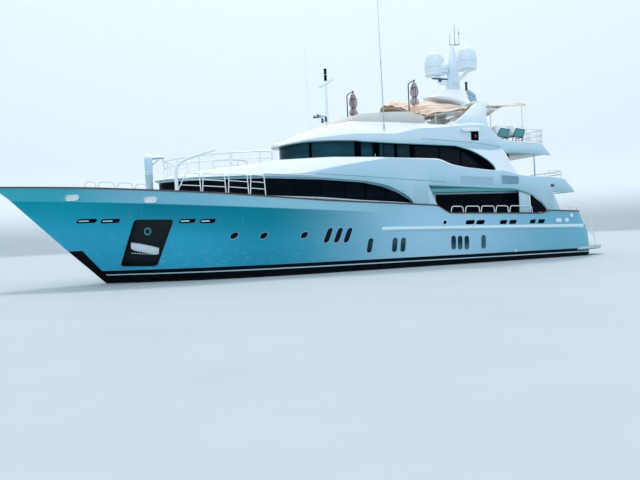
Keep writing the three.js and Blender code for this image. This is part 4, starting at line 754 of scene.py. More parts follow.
# Slot, maker and the maker's values
FINISHES = {
    "hull": ("hull_paint", hull_paint),
    "house": ("white_paint", house_paint),
    "upper_decks": ("white_paint", house_paint, UPPER_AFT, UPPER_FWD),
    "sun_decks": ("white_paint", house_paint, SUN_AFT, SUN_FWD),
    "platform": ("white_paint", house_paint, 0.74),
    # In the glass rows the second colour is the painted reflection in the panes
    "glass": ("dark_glass", dark_glass, (0.004, 0.030, 0.048), "glass", (-5.3, -5.1)),
    "port_glass": ("dark_glass", dark_glass, (0.004, 0.035, 0.055), (0.06, 0.17, 0.23), (3.2, -6.0), 0.9),
    "night_glass": ("dark_glass", dark_glass, (0.001, 0.004, 0.008), (0.003, 0.011, 0.018), None, 0.7,
                    0.02),
    "smoked": ("smoked_glass", smoked_glass),
    "wood": ("varnished_wood", varnished_wood),
    "steel": ("polished_steel", polished_steel),
    "bronze": ("bronze", cast_bronze),
    "bottom": ("bottom_paint", bottom_paint),
    "tan": ("tan_canvas", canvas, "awning", (0.56, 0.36, 0.25), (0.25, 5.0, 3.0)),
    "sand": ("sand_canvas", canvas, "awning_aft", (0.58, 0.46, 0.33)),
    "cloth": ("grey_cloth", canvas, "parasol", (0.26, 0.20, 0.22), (3.0, 3.0, 0.6)),
    "red_lamp": ("dark_plastic", lamp_glass, (0.16, 0.008, 0.006)),
    "green_lamp": ("dark_plastic", lamp_glass, (0.01, 0.20, 0.05)),
    # Moulded: colour, roughness, worn tone, coat, shine
    "rail": ("polished_steel", moulded, (0.74, 0.80, 0.84), 0.18, (0.58, 0.66, 0.72), 0.4),
    "gelcoat": ("dome_plastic", moulded, (0.66, 0.80, 0.88), 0.22, (0.54, 0.70, 0.80), 0.3),
    "white": ("white_paint", moulded, (0.76, 0.86, 0.92), 0.24, (0.60, 0.72, 0.80), 0.3),
    "dark": ("dark_plastic", moulded, (0.020, 0.034, 0.050), 0.35, (0.05, 0.07, 0.09), 0.2),
    "navy": ("dark_plastic", moulded, (0.012, 0.06, 0.19), 0.35, (0.02, 0.10, 0.26), 0.2),
    "tan_cover": ("tan_canvas", moulded, (0.74, 0.52, 0.40), 0.6, (0.58, 0.38, 0.28)),
    # Teal edge: teal strips of painted shade along the plates' lower edges
    "teal_edge": ("white_paint", moulded, (0.07, 0.34, 0.37), 0.3, (0.10, 0.42, 0.46), 0.2),
    "teal_panel": ("white_paint", moulded, (0.05, 0.25, 0.29), 0.3, (0.08, 0.32, 0.36), 0.2),
    "black": ("dark_plastic", moulded, (0.0005, 0.002, 0.004), 0.5, (0.001, 0.004, 0.006), 0.0, 0.01),
    # Pocket: hull paint darkened to painted shade inside the anchor pockets
    "pocket": ("hull_paint", moulded, (0.002, 0.008, 0.009), 0.30, (0.006, 0.030, 0.032), 0.1, 0.2),
    "grey": ("white_paint", moulded, (0.30, 0.48, 0.60), 0.35, (0.24, 0.38, 0.50), 0.2),
    # Line: dark tone that draws painted shadow in grooves, seams and gaps, and the rafts' bands
    "line": ("white_paint", moulded, (0.10, 0.26, 0.34), 0.45, (0.06, 0.18, 0.26), 0.0, 0.2),
    "pale_line": ("white_paint", moulded, (0.55, 0.80, 0.90), 0.25, (0.45, 0.70, 0.82), 0.3),
}
made_finishes = {}


def finish(name):
    """The material of a finish, made when it is first asked for."""
    if name not in made_finishes:
        _, maker, *values = FINISHES[name]
        made_finishes[name] = maker(name, *values)
    return made_finishes[name]


# Geometry Nodes for what repeats

class Shaper(Tree):
    """A geometry tree with the given inputs: name and socket type."""

    def __init__(self, name, inputs):
        group = bpy.data.node_groups.new(name, "GeometryNodeTree")
        super().__init__(group)
        group.interface.new_socket("Geometry", in_out="INPUT", socket_type="NodeSocketGeometry")
        for title, kind in inputs.items():
            group.interface.new_socket(title, in_out="INPUT", socket_type="NodeSocket" + kind)
        group.interface.new_socket("Geometry", in_out="OUTPUT", socket_type="NodeSocketGeometry")
        self.start = self.node("NodeGroupInput")

    def finished(self, geometry):
        """Ends the tree with real geometry in its finish."""
        real = self.node("GeometryNodeRealizeInstances", None, {"Geometry": geometry})
        done = self.node("GeometryNodeSetMaterial", None,
                         {"Geometry": real, "Material": self.start.out("Finish")})
        self.node("NodeGroupOutput", None, {0: done})
        return self.tree


def run_group(name, tree, mesh, **values):
    """The tree's result on a mesh, as a plain mesh. Inputs are set by their sockets' identifiers."""
    carrier = linked(name, mesh)
    modifier = carrier.modifiers.new(name, "NODES")
    modifier.node_group = tree
    for socket in tree.interface.items_tree:
        if socket.in_out == "INPUT" and socket.name in values:
            modifier[socket.identifier] = values[socket.name]
    return plain_mesh(carrier, name)


def bar_tree():
    """Round bars along the edges of a mesh, their bends rounded."""
    make = Shaper("round_bars", {"Radius": "Float", "Bend": "Float", "Sides": "Int", "Finish": "Material"})
    runs = make.node("GeometryNodeMeshToCurve", None, {"Mesh": make.start})
    bent = make.node("GeometryNodeFilletCurve", {"mode": "POLY"},
                     {"Curve": runs, "Count": 5, "Radius": make.start.out("Bend"), "Limit Radius": True})
    ring = make.node("GeometryNodeCurvePrimitiveCircle", {"mode": "RADIUS"},
                     {"Resolution": make.start.out("Sides"), "Radius": make.start.out("Radius")})
    return make.finished(make.node("GeometryNodeCurveToMesh", None,
                                   {"Curve": bent, "Profile Curve": ring, "Fill Caps": True}))


def fitting_tree():
    """A fitting set on every point of a mesh, turned and sized by the points' turn and size."""
    make = Shaper("set_fittings", {"Fitting": "Object", "Finish": "Material"})
    shape = make.node("GeometryNodeObjectInfo", {"transform_space": "ORIGINAL"},
                      {"Object": make.start.out("Fitting")}, output="Geometry")
    turn, scale = (make.node("GeometryNodeInputNamedAttribute", {"data_type": "FLOAT_VECTOR"},
                             {"Name": name})
                   for name in ("turn", "size"))
    spin = make.node("FunctionNodeEulerToRotation", None, {0: turn})
    return make.finished(make.node("GeometryNodeInstanceOnPoints", None,
                                   {"Points": make.start, "Instance": shape, "Rotation": spin,
                                    "Scale": scale}))


trees = {}


def tree_named(name, maker):
    if name not in trees:
        trees[name] = maker()
    return trees[name]


def bars(name, runs, radius, coat="rail", bend=0.12, replaces=()):
    """Round bars along runs of points, in ship metres, as one piece."""
    points, edges = [], []
    for run in runs:
        edges += [(len(points) + k, len(points) + k + 1) for k in range(len(run) - 1)]
        points += [Vector(p) * SHIP for p in run]
    mesh = bpy.data.meshes.new(name)
    mesh.from_pydata(points, edges, [])
    made = run_group(name, tree_named("bars", bar_tree), mesh, Radius=radius * SHIP, Bend=bend * SHIP,
                     Sides=12, Finish=finish(coat))
    return show(name, made, coat, replaces=replaces, angle=50)


def turn_to(out):
    """Euler angles that set a fitting's +Z along a level way out."""
    z = Vector(out).normalized()
    x = Vector((0, 0, 1)).cross(z).normalized()
    return Matrix((x, z.cross(x), z)).transposed().to_3x3().to_euler()


def fittings(name, shape, places, coat):
    """The same fitting at many places, as one piece: rows of point, Euler turn and size."""
    sample = bpy.data.objects.new(name + "_sample", shape.mesh(name + "_sample"))
    mesh = bpy.data.meshes.new(name)
    mesh.from_pydata([Vector(point) * SHIP for point, _, _ in places], [], [])
    for title, column in (("turn", 1), ("size", 2)):
        values = [v for row in places for v in row[column]]
        mesh.attributes.new(title, "FLOAT_VECTOR", "POINT").data.foreach_set("vector", values)
    made = run_group(name, tree_named("fittings", fitting_tree), mesh, Fitting=sample, Finish=finish(coat))
    bpy.data.objects.remove(sample)
    return show(name, made, coat, angle=35)


# Hull shell, finer than the CAD's

SPACE_TOP = 8           # height of the space that is cut out above the main deck
# Anchor pocket, as x, z on the hull's side
POCKET = [(14.23, 4.02), (11.9, 3.92), (12.85, 1.0), (15.01, 1.08)]
POCKET_DEPTH = 0.34
POCKET_CORNER = 0.26
POCKET_LIP = [(14.42, 2.50), (12.80, 2.08)]    # fore and aft end of the lip's top edge
LIP_HEIGHT = 0.46
# Recess of the transom door: x, z of its foot and head, half width, thickness of the door
LID = {"foot": (-20.667, 1.06), "head": (-20.443, 2.1), "half": 1.7, "thick": 0.1}


def hull_stations():
    """Places along the hull from 0 at the transom to 1 at the stem, close together at the quarter."""
    length = stem_x(STEM_HEAD) - TRANSOM_TOP
    round_end = [QUARTER * (1 - cos(pi / 2 * k / 10)) for k in range(11)]
    rest = [QUARTER + (length - QUARTER) * k / 104 for k in range(1, 105)]
    return [x / length for x in round_end + rest]


def hull_section(u):
    """Port half of the section at a station, from the keel to the bulwark's top."""
    keel_x = KEEL_AFT + KEEL_LONG * u
    rows = [(keel_x, 0.0, keel_z(keel_x))]
    for aft, stem, height, half in LEVELS:
        x = aft + (stem - aft) * u
        rows.append((x, max(half(x), STEM_HALF), height(x)))
    reach = [0.0]
    for a, b in zip(rows, rows[1:]):
        reach.append(reach[-1] + max(dist(a, b), 1e-3))
    knuckle = len(rows) - 1
    fair = [curve(*((s, row[axis]) for s, row in zip(reach[:knuckle], rows[:knuckle])))
            for axis in range(3)]
    section = []
    for i in range(knuckle - 1):
        steps = 3 if i < 3 else 5
        section += [reach[i] + (reach[i + 1] - reach[i]) * k / steps for k in range(steps)]
    points = [tuple(along(s) for along in fair) for s in section] + [rows[knuckle - 1]]
    points[0] = rows[0]
    top = rows[knuckle]
    base = rows[knuckle - 1]
    points += [tuple(a + (b - a) * t for a, b in zip(base, top)) for t in (0.5, 1.0)]
    return points


def hull_form():
    rings = []
    for u in hull_stations():
        port = hull_section(u)
        rings.append(port + [(x, -y, z) for x, y, z in port[:0:-1]])
    n = len(rings[0])
    form = Form().loft(rings, caps=False)
    for base in (0, (len(rings) - 1) * n):
        strip = [(0, 1, n - 1)] + [(i, i + 1, n - i - 1, n - i) for i in range(1, (n - 1) // 2)]
        form.faces += [tuple(base + i for i in face) for face in strip]
    return form


def deck_space():
    rings = []
    rows = [-19.44, -19.4, -19.33, -19.25, -19.12, -19.0, -18.86, -18.72]
    rows += [-18.4 + 0.4 * k for k in range(33)]
    rows = [x for x in rows if x < DECK_STEP - 0.06] + [DECK_STEP - 0.05, DECK_STEP]
    rows += [DECK_STEP + 0.4 * k for k in range(1, 65)]
    rows = [x for x in rows if x < 20.7] + [20.9]
    for x in rows:
        z = deck_z(x)
        low = inner_b(x, z)
        top = sheer_z(x)
        high = low + (inner_b(x, top) - low) * (SPACE_TOP - z) / (top - z)
        rings.append([(x, low, z), (x, high, SPACE_TOP), (x, -high, SPACE_TOP), (x, -low, z)])
    return Form().loft(rings)


def softened(points, radius, steps=6):
    """Outline of straight sides with each corner rounded off."""
    outline = []
    for i, corner in enumerate(points):
        corner = Vector(corner)
        before, after = (leg * min(radius / leg.length, 0.45) for leg in
                         (Vector(points[i - 1]) - corner, Vector(points[(i + 1) % len(points)]) - corner))
        for k in range(steps + 1):
            t = k / steps
            outline.append(tuple(corner + before * (1 - t) ** 2 + after * t ** 2))
    return outline


def on_hull(outline, side, out=0.0):
    """Points x, z on the hull's side, set a distance out from it."""
    return [(x, side * (hull_side(x, z) + out), z) for x, z in outline]


def in_pocket(outline, step, side):
    """Points x, z on the hull, moved out by the step along the pocket's leaning walls."""
    return [(x + 0.3 * step, side * (hull_side(x, z) + step), z - 0.35 * step) for x, z in outline]


def middle_of(outline):
    return [sum(p[k] for p in outline) / len(outline) for k in (0, 1)]


def shrunk(outline, amount, middle=None):
    """The outline drawn in towards its middle by a share, or out by a negative one."""
    middle = middle or middle_of(outline)
    return [tuple(c + (m - c) * amount for c, m in zip(p, middle)) for p in outline]


def pocket_ring(step, side, shrink=0.0):
    """The anchor pocket's outline at a distance out from the hull."""
    return in_pocket(shrunk(softened(POCKET, POCKET_CORNER), shrink, middle_of(POCKET)), step, side)


def pocket_floor(step, side, start=0.0):
    """Rings from the foot of the pocket's walls in to the middle of its floor, as curved as the hull."""
    return [pocket_ring(step, side, shrink) for shrink in (start, 0.25, 0.5, 0.75, 0.97)]


def lid_x(z):
    (x0, z0), (x1, z1) = LID["foot"], LID["head"]
    return x0 + (x1 - x0) * (z - z0) / (z1 - z0)


def rounded_box(x, z, long, high, slant=0.0, corners=8, round_to=0.5):
    """Outline of a rounded opening about x, z, its top leaning aft by the slant."""
    r = min(long, high) * round_to
    outline = []
    for sx, sz, start in ((1, 1, 0), (-1, 1, 90), (-1, -1, 180), (1, -1, 270)):
        for k in range(corners // 2 + 1):
            turn = radians(start + 90 * k / (corners // 2))
            u = sx * (long / 2 - r) + r * cos(turn)
            v = sz * (high / 2 - r) + r * sin(turn)
            outline.append((x + u - slant * v, z + v))
    return outline


ROUND_PORTS = [(8.27, 2.74), (6.39, 2.66), (3.68, 2.58)]
PORT_SIZE = (0.50, 0.44, 0.5)    # length, height and slant
# Tall ports: x, z and how much the top leans aft for each metre of height
TALL_PORTS = [(2.0, 2.49, 0.42), (1.27, 2.47, 0.42), (0.57, 2.44, 0.42), (-1.04, 1.68, 0.2),
              (-2.93, 1.63, 0.1), (-3.58, 1.61, 0.1), (-7.66, 1.57, 0.0), (-8.2, 1.54, 0.0),
              (-8.76, 1.52, 0.0), (-10.21, 1.5, 0.0)]
TALL_SIZE = (0.42, 1.02)
# Freeing ports in the bulwark: x from, x to, height of the middle
FREEING = [(-8.70, -9.46, 3.04), (-9.60, -10.34, 3.01), (-11.68, -12.32, 2.95), (-12.53, -13.20, 2.93),
           (-14.43, -14.98, 2.90), (-15.20, -15.85, 2.89)]
# Slots that drain the foredeck: x from, x to, z from, z to
BOW_SLOTS = [(17.5, 16.35, 4.06, 4.0), (16.13, 15.03, 3.99, 3.94), (11.62, 10.62, 3.79, 3.75),
             (10.38, 9.41, 3.74, 3.70)]
PORT_DEPTH = 0.07


def port_outlines():
    rows = [rounded_box(x, z, *PORT_SIZE, 16) for x, z in ROUND_PORTS]
    return rows + [rounded_box(x, z, *TALL_SIZE, slant) for x, z, slant in TALL_PORTS]


def slot_outlines():
    rows = [rounded_box((a + b) / 2, z - 0.07, abs(b - a), 0.3, 0.25, 4, 0.3) for a, b, z in FREEING]
    return rows + [rounded_box((a + b) / 2, (c + d) / 2, abs(b - a), 0.25, 0.3, 8, 0.5)
                   for a, b, c, d in BOW_SLOTS]


class YACHT_OT_hull(bpy.types.Operator):
    """Hull, bulwarks and main deck, with ports, slots and anchor pockets cut in"""
    bl_idname = "yacht.hull"
    bl_label = "Hull"

    def execute(self, context):
        recesses, openings = Form(), Form()
        for side in (1, -1):
            recesses.loft([pocket_ring(0.35, side)] + pocket_floor(-POCKET_DEPTH, side))
            for outline in port_outlines() + slot_outlines():
                openings.loft([on_hull(outline, side, out) for out in (0.3, -PORT_DEPTH)])
        back = LID["thick"] + 0.03
        outline = [(lid_x(z) + step, z) for z, step in zip((LID["foot"][1], LID["foot"][1], LID["head"][1],
                                                            LID["head"][1]), (-0.4, back, back, -0.4))]
        recesses.plate(outline, -LID["half"], LID["half"])
        shell = carved(hull_form().mesh("hull_shell"), [deck_space(), recesses, openings])
        show("hull_shell", shell, "hull", replaces=("hull", "bulwark_port", "bulwark_starboard"), angle=28)
        keel = Form().loft([[(x, 0.14, -1.2), (x, 0.09, z), (x, -0.09, z), (x, -0.14, -1.2)]
                            for x, z in ((-13.4, -1.55), (-12.6, -2.32), (-5, -2.32), (-3.4, -2.02))])
        for side in (1, -1):
            keel.turned((-18.35, 1.95 * side, -1.14), [(0.13, 0), (0.16, 0.54)], 24)
        show("skeg_and_bosses", keel, "bottom", angle=32, bevel=0.02)
        return {"FINISHED"}


# Rub rail: x fore and aft, height fore and aft
RUB = {"fore": -2.0, "aft": -19.75, "fore_z": 2.76, "aft_z": 2.34}
# Out from the hull, and up as a share of the moulding's height
RUB_SECTION = [(-0.02, -0.5), (0.06, -0.4), (0.11, -0.16), (0.11, 0.2), (0.06, 0.43), (-0.02, 0.5)]
STRIP_SECTION = [(0.09, -0.035), (0.125, -0.025), (0.125, 0.045), (0.09, 0.055)]
# Steel rings on the hull: x, z, width, height
RINGS = [(17.73, 5.46, 0.75, 0.30), (13.29, 5.15, 0.75, 0.30), (-6.95, 3.03, 0.34, 0.34),
         (-17.2, 2.85, 0.52, 0.26), (-17.99, 2.84, 0.32, 0.24), (-18.45, 3.2, 0.26, 0.26),
         (-13.13, 0.72, 0.16, 0.16)]


def rub_z(x):
    t = (RUB["fore"] - x) / (RUB["fore"] - RUB["aft"])
    return RUB["fore_z"] + (RUB["aft_z"] - RUB["fore_z"]) * t


def along_rub(section, count=60):
    """Moulding of a section along the rub rail, tapering into the hull at both ends."""
    form = Form()
    for side in (1, -1):
        rings = []
        for k in range(count + 1):
            x = RUB["fore"] + (RUB["aft"] - RUB["fore"]) * k / count
            grow = clamp(min(k, count - k) / 2.0, 0.08)
            z = rub_z(x)
            rings.append([(x, side * (hull_side(x, z) + out * grow), z + up) for out, up in section])
        form.loft(rings)
    return form


class YACHT_OT_hull_trims(bpy.types.Operator):
    """Rub rails, port glass, painted shade in the slots, mooring rings, and the anchor pockets lined with
    painted shade
    """
    bl_idname = "yacht.hull_trims"
    bl_label = "Hull trims"

    def execute(self, context):
        section = [(out, up * size("rub_height")) for out, up in RUB_SECTION]
        show("rub_rails", along_rub(section), "pale_line")
        show("rub_strips", along_rub(STRIP_SECTION), "steel", angle=20)
        panes, rims, slot_shades, rings, bright = (Form() for _ in range(5))
        for side in (1, -1):
            for outline in port_outlines():
                panes.loft([on_hull(shrunk(outline, -0.02), side, out) for out in (-0.075, -0.035)])
                rims.tube(on_hull(outline, side, -0.004), 0.02, 8, closed=True)
            for outline in slot_outlines():
                # Painted shade: black sheets at the bottom of the slots
                slot_shades.loft([on_hull(shrunk(outline, -0.02), side, out) for out in (-0.078, -0.045)])
            for x, z, long, high in RINGS:
                outline = rounded_box(x, z, long, high)
                rings.tube(on_hull(outline, side, 0.012), 0.035, 10, closed=True)
                # Low rings get the same painted shade in their throats, high ones white throats
                lining = bright if z > 5 or x < -17 else slot_shades
                lining.loft([on_hull(shrunk(outline, 0.12), side, out) for out in (-0.02, 0.008)])
            for a, b, c, d in BOW_SLOTS:
                run = [(a + (b - a) * (0.12 + k / 12), c + (d - c) * 0.4) for k in range(7)]
                rings.tube(on_hull(run, side, -0.035), 0.05, 10)
        show("port_glass", panes, "port_glass", angle=30)
        show("port_rims", rims, "grey", angle=50)
        show("slot_linings", slot_shades, "black", angle=30)
        show("mooring_rings", rings, "steel", angle=50)
        show("fairlead_throats", bright, "white", angle=30)
        self.pockets()
        return {"FINISHED"}

    def pockets(self):
        shade_liners, edges, lips, hawses = (Form() for _ in range(4))
        studs = []
        for side in (1, -1):
            # Painted shade: near-black skins inside the anchor pockets
            shade_liners.loft(pocket_floor(-POCKET_DEPTH + 0.03, side, 0.02)[::-1]
                        + [pocket_ring(0.006, side, 0.02), pocket_ring(0.006, side)]
                        + pocket_floor(-POCKET_DEPTH + 0.004, side))
            edges.tube(pocket_ring(0.004, side), 0.024, 8, closed=True)
            rings = []
            for out, high in ((0.05 - POCKET_DEPTH, LIP_HEIGHT), (-0.16, LIP_HEIGHT),
                              (-0.13, LIP_HEIGHT * 0.86)):
                top, foot = [], []
                for t in (k / 12 for k in range(13)):
                    x, z = (a + (b - a) * t for a, b in zip(*POCKET_LIP))
                    top.append((x, z + 0.03 * sin(pi * t)))
                    foot.append((x, z + 0.03 * sin(pi * t) - high * (1 - 0.25 * abs(2 * t - 1) ** 6)))
                rings.append(in_pocket(top + foot[::-1], out, side))
            lips.loft(rings)
            hawse = [(13.48 + 0.17 * cos(a), 3.14 + 0.2 * sin(a)) for a in turns(20)]
            hawses.tube(in_pocket(hawse, -0.27, side), 0.045, 10, closed=True)
            row = [(14.35 - 1.2 * k / 8, 1.80 - 0.12 * k / 8) for k in range(9)]
            studs += [(point, turn_to((0, side, 0)), (1, 1, 1))
                      for point in in_pocket(row, -POCKET_DEPTH + 0.03, side)]
        show("pocket_liners", shade_liners, "pocket", angle=30)
        # Painted shade: dark rims round the pockets
        show("pocket_edges", edges, "line", angle=50)
        show("pocket_lips", lips, "white", angle=50)
        show("pocket_hawses", hawses, "teal_edge", angle=50)
        stud = Form().turned((0, 0, 0), [(0.05, 0.0), (0.05, 0.025), (0.03, 0.045), (0.0, 0.05)], 12)
        fittings("pocket_studs", stud, studs, "steel")


# Cap rail: height above the bulwark, half width, depth of its lip
CAP = {"height": 0.06, "half": 0.11, "lip": 0.04}
# Hoops on it: x of the fore foot, x of the aft foot, slant, height, number of bars
HOOPS = [
    (17.05, 16.4, 0.12, 0.34, 1), (16.3, 15.3, 0.12, 0.34, 1), (15.2, 14.3, 0.12, 0.33, 1),
    (14.2, 13.5, 0.12, 0.3, 1), (11.7, 10.3, 0.55, 1.12, 3), (10.2, 8.75, 0.08, 1.14, 3),
    (8.6, 7.3, 0.08, 1.2, 3), (7.2, 6.2, 0.08, 1.25, 3), (-7.5, -8.55, 0.12, 0.42, 1),
    (-8.7, -9.95, 0.1, 0.44, 1), (-10.05, -11.25, 0.1, 0.46, 1), (-11.35, -12.5, 0.1, 0.48, 1),
    (-12.6, -14.7, 0.1, 0.49, 1), (-17.5, -18.4, 0.1, 0.3, 1), (-18.5, -19.2, 0.1, 0.28, 1),
]
BOW_NOSE = 22.14    # x of the cap's fore end


def cap_line():
    """Middle of the cap rail, from the port quarter round the bow to the starboard quarter."""
    length = stem_x(STEM_HEAD) - TRANSOM_TOP
    port = []
    for x in (TRANSOM_TOP + length * u for u in hull_stations()[:-1]):
        port.append((max(x, TRANSOM_TOP + 0.09), max(sheer_b(x) - CAP_INSET, 0.1), sheer_z(x)))
    return both_sides(port + [(BOW_NOSE, 0, sheer_z(BOW_NOSE))])


def on_cap(x, side, up):
    return (x, side * (sheer_b(x) - CAP_INSET), sheer_z(x) + up)


class YACHT_OT_cap_rail(bpy.types.Operator):
    """Varnished cap round the bulwark and the polished hoops that stand on it"""
    bl_idname = "yacht.cap_rail"
    bl_label = "Cap rail"

    def execute(self, context):
        path = cap_line()
        half, low, high = CAP["half"], -CAP["lip"], CAP["height"]
        section = [(half, low), (half, high - 0.03), (half - 0.03, high),
                   (half - 0.03 - 0.12, high + 0.004),
                   (0.03 - half, high), (-half, high - 0.03), (-half, low)]
        rings = []
        for i, (x, y, z) in enumerate(path):
            before, after = path[i - 1], path[(i + 1) % len(path)]
            along = Vector((after[0] - before[0], after[1] - before[1])).normalized()
            rings.append([(x - along.y * out, y + along.x * out, z + up) for out, up in section])
        show("cap_timber", Form().loft(rings, closed=True), "wood", replaces=("cap_rail",))
        hoops, middles = [], []
        for side in (1, -1):
            for fore, aft, slant, height, count in HOOPS:
                foot = high - 0.03
                hoops.append([on_cap(fore, side, foot), on_cap(fore - slant, side, high + height),
                              on_cap(aft + 0.06, side, high + height), on_cap(aft, side, foot)])
                for k in range(1, count):
                    rise = foot + height * k / count
                    middles.append([on_cap(fore - slant * k / count, side, rise),
                                    on_cap(aft + 0.02, side, rise)])
        bars("rail_hoops", hoops, size("hoop"), bend=0.16)
        bars("rail_middles", middles, 0.024, bend=0.0)
        return {"FINISHED"}


# Decks and side plates

ROOF_UNDER = 6.52       # undersides of the decks
UPPER_AFT_UNDER = 5.17
SUN_UNDER = 9.02
PLATE = 0.13            # thickness of the side plates
SEAM = 0.0008           # gap between a piece and what it stands on

plate_b = curve((-19.15, 4.0), (-17, 4.36), (-13, 4.5), (-7, 4.58), (-1, 4.54), (3, 4.3), (6, 3.78),
                (8.5, 3.15), (10.3, 2.45), (11.5, 1.65), (12.15, 0.85), (12.4, 0.1))
plate_foot = line((-19.15, 4.97), (-16.7, 4.97), (-14, 5.14), (-13, 5.3), (-11.7, 5.36), (-5.7, 5.68),
                  (-2.4, 5.72), (-0.9, 6.04), (2, 6.3), (5.8, 6.5), (12.4, 6.5))
# Lower edges of the wings that the upper plate runs down into
FORE_WING = (-5.72, -0.9)
AFT_WING = (-16.72, -11.7)
fore_wing = curve((-5.72, 4.33), (-5.1, 4.36), (-4.62, 4.38), (-4.48, 4.46), (-4.35, 4.72), (-3.5, 5.28),
                  (-2.4, 5.74), (-0.9, 6.04))
aft_wing = curve((-16.72, 3.62), (-16.3, 3.64), (-16.1, 3.76), (-15.6, 4.3), (-14.85, 4.77), (-14, 5.08),
                 (-12.9, 5.32), (-11.7, 5.36))
plate_crease = line((-19.15, 5.0), (-18.05, 6.02), (-16.2, 6.18), (-13.9, 6.26), (-12.2, 6.7),
                    (-11.4, 6.64), (-8.9, 6.88), (-7.6, 7.1), (-6.8, 7.46), (-2.6, 7.6), (-0.9, 7.34),
                    (1.3, 7.0), (3, 6.66), (12.4, 6.54))
plate_top = line((-19.15, 5.05), (-18.05, 6.07), (-16.2, 6.22), (-13.9, 6.3), (-12.2, 6.75), (-11.4, 6.68),
                 (-8.9, 6.92), (-7.6, 7.16), (-6.8, 7.54), (-2.2, 7.68), (1.3, 7.74), (5.4, 7.58),
                 (6.3, 7.42))
top_b = line((-19.15, 4.0), (-17, 4.33), (-13, 4.47), (-7, 4.55), (-2.2, 4.35), (1.3, 3.9), (4, 3.45),
             (6.3, 3.0))
UPPER_SPAN = (-19.15, 6.3)
sun_b = curve((-17.5, 3.4), (-16.4, 3.6), (-12.6, 3.9), (-8, 3.9), (-4, 3.8), (-0.6, 3.58), (1.2, 3.2),
              (2.3, 2.62), (3.3, 1.75), (3.9, 0.9), (4.12, 0.1))
sun_under = line((-17.5, 7.9), (-12.6, 8.11), (-8.4, 8.55), (-3.7, 8.72), (-0.6, 8.88), (2.5, 8.92),
                 (4.12, 8.76))
sun_crease = line((-17.5, 7.92), (-16.4, 8.88), (-14, 8.86), (-12.7, 8.98), (-12.2, 9.2), (-11.85, 9.7),
                  (-11.4, 10.1), (-10.2, 10.1), (-8.1, 9.92), (-5.6, 9.75), (-3.95, 9.38), (-0.6, 9.38),
                  (2.3, 9.12), (3.3, 9.0), (4.12, 8.84))
sun_top = line((-17.5, 7.96), (-16.4, 8.92), (-14, 8.9), (-12.7, 9.04), (-12.2, 9.3), (-11.85, 9.85),
               (-11.4, 10.3), (-10.2, 10.35), (-8.5, 10.16), (-7.6, 10.17), (-4, 10.3), (-0.8, 10.35),
               (0.94, 10.11), (2.3, 9.62), (3, 9.32), (3.6, 9.12), (4.12, 8.98))
sun_top_b = line((-17.5, 3.38), (-16.4, 3.57), (-14, 3.78), (-12.7, 3.84), (-12, 3.55), (-8, 3.35),
                 (-4, 3.0), (-0.8, 2.7), (0.94, 2.3), (2.3, 1.9), (3, 1.3), (4.12, 0.06))
FOREMAST_X = -0.2
WHIP = (-3.0, 3.5)      # x and y of the tall whip's foot, on the port plate
SUN_SPAN = (-17.5, -0.95)
BROW_SPAN = (-0.96, 4.1)
roof_edge = curve((5.4, 7.5), (6.3, 7.38), (8.1, 7.2), (9.9, 6.98), (11.4, 6.74), (12.4, 6.58))
# After corners of the wings: levels from and to, fore edge and after edge by height
UPPER_CORNERS = [(4.25, 5.67, line((4.2, -5.715), (6, -5.715)), line((4.25, -6.4), (5.67, -5.73))),
                 (3.6, 4.96, line((3.5, -16.715), (6, -16.715)), line((3.6, -17.45), (4.96, -16.73)))]
SUN_WING = (6.3, 8.66, curve((6.3, -11.9), (6.65, -11.66), (6.9, -11.62), (7.2, -11.42), (7.65, -10.87),
                             (8.23, -9.75), (8.55, -8.5), (8.7, -7.9)),
            line((6.3, -13.66), (6.85, -13.33), (8.05, -12.78), (8.3, -12.6)))
wing_y = line((6.2, 4.45), (8.3, 3.905))


def plate_under(x):
    """Lower edge of the upper plate, its two wings included."""
    for (aft, fore), shape in ((FORE_WING, fore_wing), (AFT_WING, aft_wing)):
        if aft <= x <= fore:
            return shape(x)
    return plate_foot(x)


def stations(low, high, step):
    count = max(1, round((high - low) / step))
    return [low + (high - low) * k / count for k in range(count + 1)]


def side_plate(form, span, half, under, crease, top_half, top, side):
    """Plate along a deck's edge: outer foot, crease, top, and the inner side back down."""
    soft = [eased(half, 0.12, 4), under, eased(crease, 0.4), eased(top_half, 0.3), eased(top, 0.4)]
    rings = []
    breaks = [x + step for x in (FORE_WING[0], AFT_WING[0])
              for step in (-0.001, 0.001) if under is plate_under]
    for x in sorted(stations(*span, 0.12) + breaks):
        reach = 1.0 if span[0] + 0.15 < x < span[1] - 0.15 else 0.0
        b, z0, z1, t, z2 = (s(x) if reach else shape(x)
                            for s, shape in zip(soft, (half, under, crease, top_half, top)))
        rings.append([(x, side * b, z0), (x, side * b, max(z1 - 0.08, z0 + 0.005)), (x, side * b, z1),
                      (x, side * t, z2), (x, side * (t - PLATE), z2),
                      (x, side * (b - PLATE), max(z1 - 0.04, z0 + 0.01)), (x, side * (b - PLATE), z0)])
    return form.loft(rings)


def hanging_wing(form, wing, half, side):
    """Plate that hangs below a side plate, between a fore and an after edge."""
    low, high, fore, aft = wing
    rings = []
    for z in stations(low, high, 0.1):
        row = [(x, half(x, z)) for x in (aft(z) + (fore(z) - aft(z)) * k / 12 for k in range(13))]
        rings.append([(x, side * y, z) for x, y in row] + [(x, side * (y - PLATE), z)
                                                           for x, y in row[::-1]])
    return form.loft(rings)


def spline(points, step):
    """Smooth run through points, sampled evenly."""
    reach = [0.0]
    for a, b in zip(points, points[1:]):
        reach.append(reach[-1] + dist(a, b))
    axes = [curve(*((s, p[k]) for s, p in zip(reach, points))) for k in range(len(points[0]))]
    count = max(2, ceil(reach[-1] / step))
    return [tuple(axis(reach[-1] * k / count) for axis in axes) for k in range(count + 1)]


